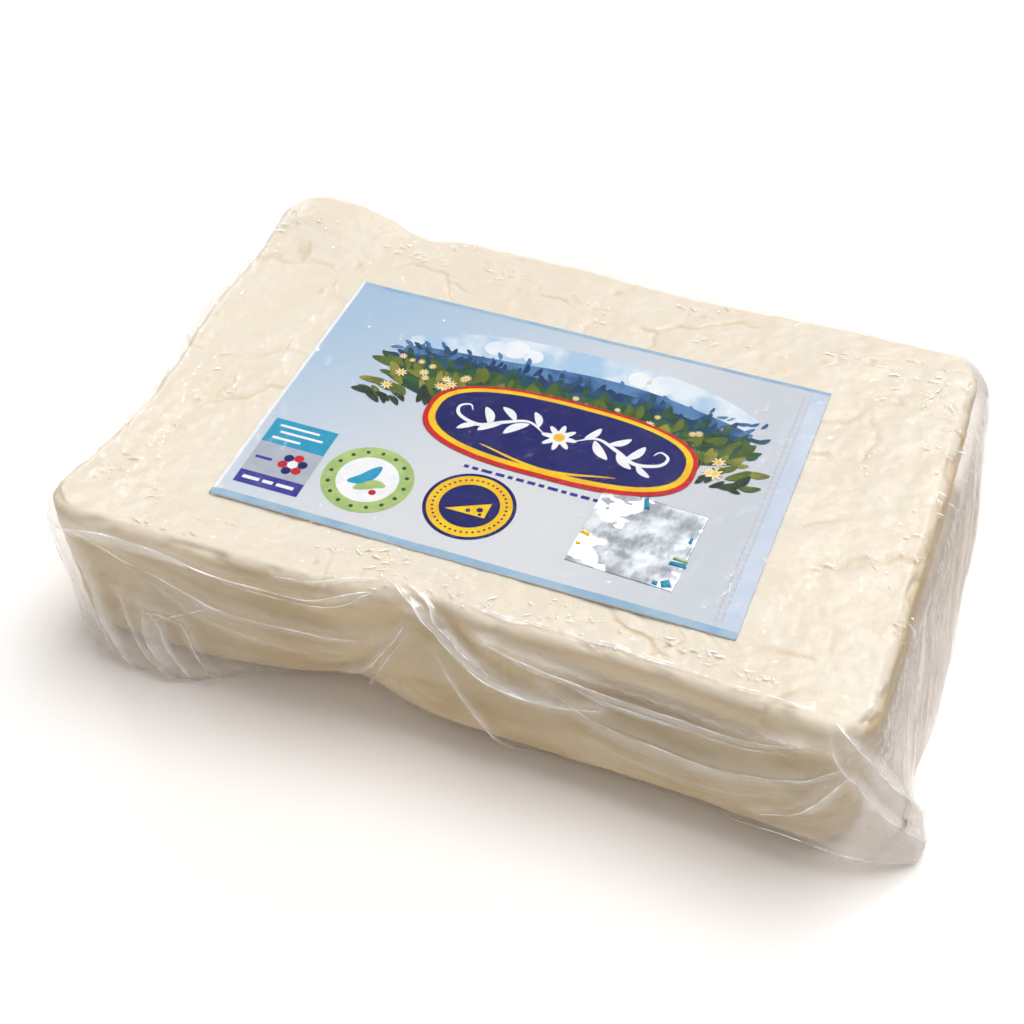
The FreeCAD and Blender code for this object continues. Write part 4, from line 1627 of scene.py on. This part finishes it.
@dataclass
class Label:
    """The printed sheet under the film.

    Its print is flat shapes of ink, placed in millimetres about the sheet's middle, each layer
    a hair above the one before.
    """

    step: float = 1.0
    stroke_steps: int = 40
    layer_lift: float = 0.012
    shapes: dict[Ink, list[tuple[Array, Sequence[Array]]]] = field(default_factory=dict)

    def add(self, ink: Ink, layer: int, flat: Array, faces: Sequence[Array]) -> None:
        """Keep a shape until the inks are built.

        Args:
            ink: its colour.
            layer: its place in the stack, 1 the lowest.
            flat: its vertices.
            faces: its faces, turned upwards.
        """
        lift = np.full((len(flat), 1), layer * self.layer_lift)
        self.shapes.setdefault(ink, []).append((np.hstack([flat, lift]), faces))

    def between(self, ink: Ink, layer: int, low: Array, high: Array) -> None:
        """Fill the strip between two rows of points that run from left to right.

        Args:
            ink: its colour.
            layer: its place in the stack.
            low: the lower row.
            high: the upper row.
        """
        shares = np.linspace(0, 1, max(2, int(np.abs(high - low).max() / self.step) + 2))
        rows = low + (high - low) * shares[:, None, None]
        faces = grid_faces(len(shares), len(low), closed=False)
        self.add(ink, layer, rows.reshape(-1, 2), faces)

    def disc(self, ink: Ink, layer: int, centre: Sequence[float], outer: Array | float) -> None:
        """Fill a round shape whose radius may differ at each angle.

        Args:
            ink: its colour.
            layer: its place in the stack.
            centre: its middle.
            outer: its radius, one for all angles or one for each.
        """
        reach = float(np.max(outer))
        count = np.size(outer) if np.size(outer) > 1 else (96 if reach > 3.0 else 32)
        edge = np.broadcast_to(outer, count)[:, None] * directions(round_angles(count))
        rings = max(2, int(reach / 1.4) + 2)
        rows = centre + edge * np.linspace(0.02, 1, rings)[:, None, None]
        flat = np.vstack([rows.reshape(-1, 2), np.asarray(centre, float)[None]])
        after = (np.arange(count) + 1) % count
        hub = np.stack([np.full(count, count * rings), np.arange(count), after], -1)
        self.add(ink, layer, flat, [*grid_faces(rings, count, closed=True)[:, ::-1], *hub])

    def bar(self, ink: Ink, layer: int, left: float, right: float, low: float,
            high: float) -> None:
        """Fill an upright rectangle.

        Args:
            ink: its colour.
            layer: its place in the stack.
            left: where it starts.
            right: where it ends.
            low: its lower edge.
            high: its upper edge.
        """
        x = np.linspace(left, right, max(2, int((right - left) / self.step) + 2))
        self.between(ink, layer, *(np.stack([x, np.full_like(x, y)], -1) for y in (low, high)))

    def stroke(self, ink: Ink, layer: int, points: Sequence[Sequence[float]],
               width: float, thin: float = 0.15) -> None:
        """Draw a brush stroke through points, full in the middle and thin at its ends.

        Args:
            ink: its colour.
            layer: its place in the stack.
            points: the points.
            width: its width in the middle.
            thin: the share of that width at the ends.
        """
        path = smooth_path(points, self.stroke_steps)
        full = np.sin(math.pi * np.linspace(0, 1, self.stroke_steps)) ** 0.7
        half = right_of(path) * (width / 2 * (thin + (1 - thin) * full))[:, None]
        self.between(ink, layer, path + half, path - half)

    def leaf(self, ink: Ink, layer: int, root: Sequence[float], long: float, lean: float,
             slim: float = 0.36) -> None:
        """Print one leaf.

        Args:
            ink: its colour.
            layer: its place in the stack.
            root: where it starts.
            long: its length.
            lean: its lean from upright, clockwise in radians.
            slim: its width as a share of its length.
        """
        way = np.array([math.sin(lean), math.cos(lean)])
        across = np.array([way[1], -way[0]])
        tip = np.asarray(root, float) + way * long
        middle = np.asarray(root, float) + way * long * 0.5 + across * long * 0.08
        self.stroke(ink, layer, (root, middle, tip), slim * long, 0.04)

    def daisy(self, ink: Ink, layer: int, middle: Sequence[float], reach: float) -> None:
        """Print a daisy: eight rounded petals, a cosine of the angle, about a gold eye."""
        self.disc(ink, layer, middle, reach * (0.74 + 0.26 * np.cos(8 * round_angles(64))))
        self.disc(Ink.GOLD, layer + 1, middle, 0.3 * reach)

    def ring(self, ink: Ink, layer: int, middle: Array, radius: float, count: int,
             size: float) -> None:
        """Print a ring of dots.

        Args:
            ink: their colour.
            layer: their place in the stack.
            middle: the ring's middle.
            radius: its radius.
            count: how many dots it has.
            size: their radius.
        """
        for way in directions(round_angles(count)):
            self.disc(ink, layer, middle + radius * way, size)

    def meadow(self) -> None:
        """Print a bank of leaves and daisies under a pale sky, in a patch with a domed top.

        Each field lies between two curves over the patch's width.  Rows of leaves stand on the
        fields, the far ones small and dark, and fan out past the patch's two ends.
        """
        share = np.linspace(0, 1, 120)
        across = -33.0 + 72.0 * share
        end = np.abs(2 * share - 1)
        foot = np.stack([across, 3.0 + 5.0 * end**4], -1)

        def upper(level: float, dip: float, waves: float) -> Array:
            """Return a field's upper edge: its level, its dip at the ends and its waves."""
            height = level - dip * end**3 + 0.8 * np.sin(waves * share + level)
            return np.stack([across, np.maximum(height, foot[:, 1] + 0.1)], -1)

        self.between(Ink.SKY, 1, foot, upper(28.6, 7.5, 0.0))
        for x, y, size in ((-16.0, 23.4, 2.2), (-12.0, 24.4, 2.8), (-8.0, 23.6, 2.0),
                           (14.0, 24.6, 2.4), (18.4, 24.2, 2.9), (22.6, 23.4, 1.9)):
            self.disc(Ink.CLOUD, 2, (x, y), size)
        self.between(Ink.FAR_BANK, 3, foot, upper(21.4, 4.0, 9.0))
        self.between(Ink.DEEP_BANK, 4, foot, upper(18.6, 4.0, 13.0))
        self.between(Ink.FOREST, 5, foot, upper(15.8, 4.0, 17.0))
        draw = np.random.default_rng(14)
        rows = ((Ink.FAR_BANK, 17.0, 20.5, 46, 2.6), (Ink.DEEP_BANK, 14.5, 18.5, 50, 3.2),
                (Ink.FOREST, 11.0, 15.5, 54, 3.8), (Ink.MEADOW, 8.0, 13.0, 52, 4.4),
                (Ink.PASTURE, 5.0, 10.5, 48, 4.6), (Ink.MEADOW, 2.5, 6.5, 44, 4.8),
                (Ink.SHADE, 0.5, 3.5, 50, 4.6))
        for layer, (ink, low, high, count, long) in enumerate(rows, start=6):
            for place in np.linspace(-1, 1, count):
                root = (3.0 + 36.5 * place + draw.uniform(-0.8, 0.8),
                        draw.uniform(low, high) - 1.5 * abs(place) ** 3)
                lean = 1.1 * place**3 + draw.normal(0, 0.4)
                self.leaf(ink, layer, root, long * draw.uniform(0.7, 1.2), lean)
        for _ in range(44):
            up = draw.uniform(3.0, 15.5)
            reach = (1.9 - 0.075 * up) * draw.uniform(0.75, 1.1)
            self.daisy(Ink.CREAM, 13, (draw.uniform(-33, 39), up), reach)

    def plaque(self) -> None:
        """Print the navy plaque with its gold and red rims and a plain scroll ornament.

        The plaque is a long oval with squared shoulders: on its edge the powers of |x / a| and
        |y / b| add up to one.
        """
        angle = round_angles(96)
        power = 2.6
        centre = np.array([5.0, 2.6])

        def oval(half_long: float, half_tall: float) -> Array:
            """Return the radius of such an oval at each angle."""
            reach = (np.abs(np.cos(angle) / half_long) ** power
                     + np.abs(np.sin(angle) / half_tall) ** power)
            return reach ** (-1 / power)

        self.disc(Ink.RED, 15, centre + (0.0, -0.3), oval(27.0, 11.2))
        self.disc(Ink.GOLD, 16, centre + (0.0, -0.1), oval(26.0, 10.3))
        self.disc(Ink.NAVY, 17, centre, oval(24.7, 9.2))
        for way in (-1, 1):
            vine = ((3.2, 0.2), (7.0, 2.2), (11.4, 0.4), (15.6, -1.8), (20.0, -0.6),
                    (21.0, 1.8), (19.2, 3.0), (18.2, 1.6))
            self.stroke(Ink.WHITE, 18, [(centre[0] + way * x, centre[1] + y) for x, y in vine],
                        0.9)
            for x, y, long, lean in ((4.6, 1.4, 4.4, 0.5), (6.6, 1.6, 5.6, 2.4),
                                     (9.4, 1.6, 4.6, 0.9), (11.6, 0.0, 5.0, 2.3),
                                     (13.6, -1.2, 5.2, 0.5), (16.0, -1.9, 4.0, 2.2)):
                self.leaf(Ink.WHITE, 18, (centre[0] + way * x, centre[1] + y), long,
                          way * lean, 0.34)
        self.daisy(Ink.WHITE, 19, centre, 3.6)
        self.stroke(Ink.GOLD, 18, ((-8.5, -4.1), (5, -6.7), (18.5, -4.1)), 0.7)

    def seals(self) -> None:
        """Print the two round seals."""
        middle = np.array([-24.2, -20.6])
        self.disc(Ink.LEAF, 3, middle, 8.7)
        self.disc(Ink.WHITE, 4, middle, 5.9)
        self.ring(Ink.FOREST, 4, middle, 7.3, 16, 0.42)
        self.stroke(Ink.TEAL, 5, middle + np.array([(-3.4, -1.6), (-0.6, 0.2), (1.2, 4.0)]), 2.6)
        self.stroke(Ink.LEAF, 5, middle + np.array([(3.9, -0.6), (1.4, -0.8), (-1.6, -3.0)]),
                    2.4)
        self.disc(Ink.RED, 6, middle + (2.2, -2.8), 0.7)
        middle = np.array([-4.0, -20.3])
        self.disc(Ink.NAVY, 3, middle, 8.6)
        self.disc(Ink.GOLD, 4, middle, 7.9)
        self.disc(Ink.NAVY, 5, middle, 5.6)
        self.ring(Ink.NAVY, 5, middle, 6.8, 40, 0.24)
        x = np.linspace(-3.9, 3.7, 12)
        lower = middle + np.stack([x, np.full_like(x, -2.1)], -1)
        upper = middle + np.stack([x, -2.0 + 3.9 * (x + 3.9) / 7.6], -1)
        self.between(Ink.GOLD, 6, lower, upper)
        for across, up, size in ((0.2, -1.2, 0.45), (2.2, -0.4, 0.6), (2.6, -1.5, 0.35)):
            self.disc(Ink.NAVY, 7, middle + (across, up), size)

    def panels(self) -> None:
        """Print the stacked panels at the left, with plain bars and a ring of dots on them."""
        left, right = -47.4, -34.4
        self.bar(Ink.TEAL, 3, left, right, -18.0, -11.2)
        for up, start, end in ((-12.9, 1.6, 9.8), (-14.6, 2.4, 11.2), (-16.4, 1.6, 7.4)):
            self.bar(Ink.WHITE, 4, left + start, left + end, up - 0.3, up + 0.3)
        self.bar(Ink.GREY, 3, left, right, -26.2, -18.0)
        middle = np.array([-38.8, -22.1])
        for turn in range(6):
            angle = math.radians(60 * turn + 15)
            way = np.array([math.cos(angle), math.sin(angle)])
            ink = Ink.RED if turn % 2 else Ink.NAVY
            self.disc(ink, 4, middle + 1.9 * way, 0.95)
        self.disc(Ink.WHITE, 5, middle, 1.0)
        self.bar(Ink.STRIP, 4, left + 1.0, left + 4.4, -22.6, -21.9)
        self.bar(Ink.STRIP, 3, left, right, -29.6, -26.2)
        for start, end in ((1.2, 4.6), (5.3, 7.4), (8.1, 11.6)):
            self.bar(Ink.WHITE, 4, left + start, left + end, -28.3, -27.5)

    def edges(self) -> None:
        """Print the margins, a painted highlight down the left edge, the ruled row of dashes and
        the dotted lines at the right.
        """
        half_x, half_y = LABEL_SIZE[0] / 2, LABEL_SIZE[1] / 2
        self.bar(Ink.PALE_BLUE, 1, -half_x + 0.3, half_x - 0.2, -half_y + 0.15, -half_y + 1.7)
        # painted highlight: a thin white strip down the left edge, standing for the film's glint
        # along it
        self.bar(Ink.WHITE, 2, -half_x + 0.05, -half_x + 0.7, -half_y + 1.5, half_y - 0.05)
        self.bar(Ink.PALE_BLUE, 1, -half_x + 1.6, half_x - 0.2, half_y - 1.0, half_y - 0.2)
        self.bar(Ink.EDGE_BLUE, 1, half_x - 3.4, half_x - 0.1, -half_y + 1.6, half_y - 1.0)
        for across in (half_x - 4.6, half_x - 3.4):
            for up in np.arange(-half_y + 3, half_y - 2, 1.5):
                self.bar(Ink.GREY, 3, across, across + 0.16, up, up + 0.8)
        draw = np.random.default_rng(3)
        start = -9.0
        while start < 19.0:
            long = draw.uniform(0.8, 2.4)
            self.bar(Ink.STRIP, 3, start, start + long, -11.0, -10.2)
            start += long + 0.7

    def build(self) -> None:
        """Lay the sheet and its inks."""
        columns = int(LABEL_SIZE[0] / self.step) + 1
        rows = int(LABEL_SIZE[1] / self.step) + 1
        x, y = np.meshgrid(np.linspace(-0.5, 0.5, columns) * LABEL_SIZE[0],
                           np.linspace(-0.5, 0.5, rows) * LABEL_SIZE[1])
        flat = np.stack([x, y], -1).reshape(-1, 2)
        high = LABEL_TOP + sheet_wave(flat)
        vertices, faces = slab(flat + LABEL_CENTRE, rows, columns,
                               np.full(len(flat), TOP_LEVEL - 0.1), high)
        sheet = new_piece("label_sheet", vertices, faces, LabelGround().material())
        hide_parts("label")
        self.edges()
        self.meadow()
        self.plaque()
        self.seals()
        self.panels()
        for ink, parts in self.shapes.items():
            faces, count = [], 0
            for spots, shape_faces in parts:
                faces += [(face + count).tolist() for face in shape_faces]
                count += len(spots)
            spots = np.vstack([spots for spots, _ in parts])
            spots[:, 2] += LABEL_TOP + sheet_wave(spots[:, :2])
            spots[:, :2] += LABEL_CENTRE
            piece = new_piece(ink.value.name.replace("ink", "print"), spots, faces,
                              ink.value.material())
            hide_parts("label")


@dataclass
class FoilSquare:
    """The small square of crinkled foil on the label."""

    side: float = 20.0
    turn: float = -2.5
    count: int = 121
    lift: float = 0.14
    crinkle: float = 0.06
    glint_lift: float = 0.26
    glint_thickness: float = 0.1

    def build(self) -> None:
        """Lay the foil on the label.

        The sheet follows the label's wave; layered noise crinkles it, and a coarser noise marks
        where it is painted white as glare.
        """
        low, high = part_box("foil_seal")
        middle = ((np.array(low) + np.array(high)) / 2 / MM - TO_MODEL)[:2]
        u, v = np.meshgrid(*[np.linspace(-0.5, 0.5, self.count) * self.side] * 2)
        flat = np.stack([u, v], -1).reshape(-1, 2)
        noise = GradientNoise(97)
        spots = np.concatenate([flat, np.zeros_like(flat[:, :1])], -1)
        spin = turned_by(self.turn)
        placed = flat @ spin + middle
        crinkles = self.crinkle * noise.layered(spots, 6.0, 3)
        level = LABEL_TOP + sheet_wave(placed - LABEL_CENTRE) + self.lift + crinkles
        vertices, faces = slab(placed, self.count, self.count, np.full(len(flat), LABEL_TOP),
                               level)
        foil = new_piece("foil_square", vertices, faces, FoilFinish().material())
        # painted glare: white patches of foil colour where it would glare
        painted_glare = noise.layered(spots * (1.0, 1.3, 1.0) + 33.0, 9.0, 4)
        painted_glare = smooth_step(painted_glare - 0.02 * (flat[:, 0] + flat[:, 1]), 0.30, 0.38)
        set_attribute(foil, "painted_glare", np.tile(painted_glare, 2))
        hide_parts("foil_seal")
        # painted glints: small plates of coloured ink standing for the foil's coloured glints
        chips = [(Ink.TEAL, (-1.6, 8.9), 0.5, 1.6, 20), (Ink.TEAL, (8.8, -3.4), 1.6, 0.5, 5),
                 (Ink.LEAF, (8.9, -2.2), 1.4, 0.3, 0), (Ink.TEAL, (8.4, -8.7), 0.9, 0.9, 30),
                 (Ink.TEAL, (6.6, -9.2), 0.5, 0.5, 0), (Ink.GOLD, (-9.0, -2.6), 0.9, 0.4, -10),
                 (Ink.GOLD, (-9.3, -5.4), 0.5, 0.3, 12), (Ink.TEAL, (9.0, 3.0), 0.3, 0.8, 0)]
        for number, (ink, centre, half_x, half_y, turn) in enumerate(chips):
            self.lay_painted_glint(number, ink, np.array(centre), (half_x, half_y), turn, spin, middle)

    def lay_painted_glint(self, number: int, ink: Ink, centre: Array, half: tuple[float, float], turn: float,
             spin: Array, middle: Array) -> None:
        """Lay one small painted glint on the foil: a thin four-cornered plate in a coloured ink.

        Args:
            number: its number, for its name.
            ink: its colour.
            centre: its place on the foil.
            half: half its length and half its width.
            turn: its turn on the foil, in degrees.
            spin: the foil's own turn, as a matrix.
            middle: the foil's middle.
        """
        corners = np.array([(-1, -0.8), (1, -1), (0.8, 1), (-0.9, 0.7)]) * half
        placed = (corners @ turned_by(turn) + centre) @ spin + middle
        level = LABEL_TOP + sheet_wave(placed - LABEL_CENTRE) + self.glint_lift
        top = np.concatenate([placed, level[:, None]], -1)
        under = top - (0, 0, self.glint_thickness)
        sides = [[k, 4 + k, 4 + (k + 1) % 4, (k + 1) % 4] for k in range(4)]
        glint = new_piece(f"foil_glint_{number}", np.vstack([top, under]),
                          [[0, 1, 2, 3], [7, 6, 5, 4], *sides],
                          ink.value.material())
        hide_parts("foil_seal")


# The studio

@dataclass
class Studio:
    """Floor, light and camera round the pack."""

    aim: tuple[float, float] = (3.78, -18.95)
    distance: float = 312.37
    azimuth: float = 21.09
    elevation: float = 44.70
    lens: float = 60.65
    floor_size: float = 6.0
    surround: float = 0.38
    sensor_width: float = 36.0
    clip_start: float = 0.01
    # painted warm bounce light from the cheese, near the pack
    painted_bounce_floor: Colour = (0.98, 0.93, 0.895)
    far_floor: Colour = (0.985, 0.973, 0.968)

    def floor(self) -> None:
        """Lay a pale floor that takes the shadow; near the pack its colour is warmer and a little
        darker, a painted warm bounce of light from the cheese.
        """
        half = self.floor_size / 2
        mesh = bpy.data.meshes.new("floor")
        mesh.from_pydata([(-half, -half, 0), (half, -half, 0), (half, half, 0),
                          (-half, half, 0)], [], [(0, 1, 2, 3)])
        floor = bpy.data.objects.new("floor", mesh)
        bpy.context.scene.collection.objects.link(floor)
        shader = Shader("studio_floor")
        place = shader.add("TexCoord").outputs["Object"]
        away = shader.add("VectorMath", {0: place}, operation="LENGTH").outputs["Value"]
        # painted bounce light: warmer floor colour near the pack, fading out by 0.14 m
        colour = shader.mix_colour(shader.ramp(away, 0.08, 0.14), self.painted_bounce_floor, self.far_floor)
        skin = shader.add("BsdfPrincipled", {"Base Color": colour,
                                             "Roughness": 0.35, "Specular IOR Level": 0.3})
        mesh.materials.append(shader.finish(skin.outputs[0]))

    def sun(self, name: str, way: Vector, spread: float, strength: float) -> bpy.types.Object:
        """Hang a distant lamp.

        Args:
            name: its name.
            way: the way towards it.
            spread: the angle that it fills, in degrees.
            strength: its strength.

        Returns:
            The lamp.
        """
        data = bpy.data.lights.new(name, "SUN")
        data.angle = math.radians(spread)
        data.energy = strength
        lamp = bpy.data.objects.new(name, data)
        lamp.rotation_euler = way.to_track_quat("Z", "Y").to_euler()
        bpy.context.scene.collection.objects.link(lamp)
        return lamp

    def lights(self) -> None:
        """Light the pack softly from above and behind, with an even pale surround."""
        self.sun("key", Vector((0.14, 0.34, 0.93)), 46.0, 2.3)
        for name, way in (("sparkle_right", (0.14, 0.66, 0.74)),
                          ("sparkle_left", (-0.62, 0.58, 0.53))):
            sparkle = self.sun(name, Vector(way), 3.0, 0.9)
            sparkle.visible_diffuse = False
        world = Shader("surround", world=True)
        rays = world.add("LightPath").outputs
        seen = world.add("Math", {0: rays["Is Camera Ray"], 1: rays["Is Glossy Ray"]},
                         operation="ADD", use_clamp=True).outputs[0]
        strength = world.add("MapRange", {"Value": seen, "To Min": self.surround, "To Max": 1.0})
        sky = world.add("Background", {"Color": (1.0, 1.0, 1.0, 1.0),
                                       "Strength": strength.outputs["Result"]})
        bpy.context.scene.world = world.finish(sky.outputs[0], "OutputWorld")

    def camera(self) -> None:
        """Set the camera by its aim on the label, its distance and its two angles."""
        centre = np.append(LABEL_CENTRE + TO_MODEL[:2], LABEL_TOP)
        aim = centre + np.array([*self.aim, 0.0])
        azimuth = math.radians(self.azimuth)
        elevation = math.radians(self.elevation)
        way = np.array([math.sin(azimuth) * math.cos(elevation),
                        -math.cos(azimuth) * math.cos(elevation), math.sin(elevation)])
        data = bpy.data.cameras.new("camera")
        data.lens = self.lens
        data.sensor_width = self.sensor_width
        data.clip_start = self.clip_start
        camera = bpy.data.objects.new("camera", data)
        place = Vector((aim + way * self.distance) * MM)
        camera.location = place
        facing = Vector(aim * MM) - place
        camera.rotation_euler = facing.to_track_quat("-Z", "Y").to_euler()
        bpy.context.scene.collection.objects.link(camera)
        bpy.context.scene.camera = camera

    def build(self) -> None:
        """Set up floor, lights, camera and plain colour handling."""
        self.floor()
        self.lights()
        self.camera()
        bpy.context.scene.view_settings.view_transform = "Standard"


def main() -> None:
    """Build every part of the picture in order."""
    logging.basicConfig(level=logging.INFO, format="%(message)s")
    Studio().build()
    CheeseBlock().build()
    FilmBag().build()
    Label().build()
    FoilSquare().build()


if __name__ == "__main__":
    main()
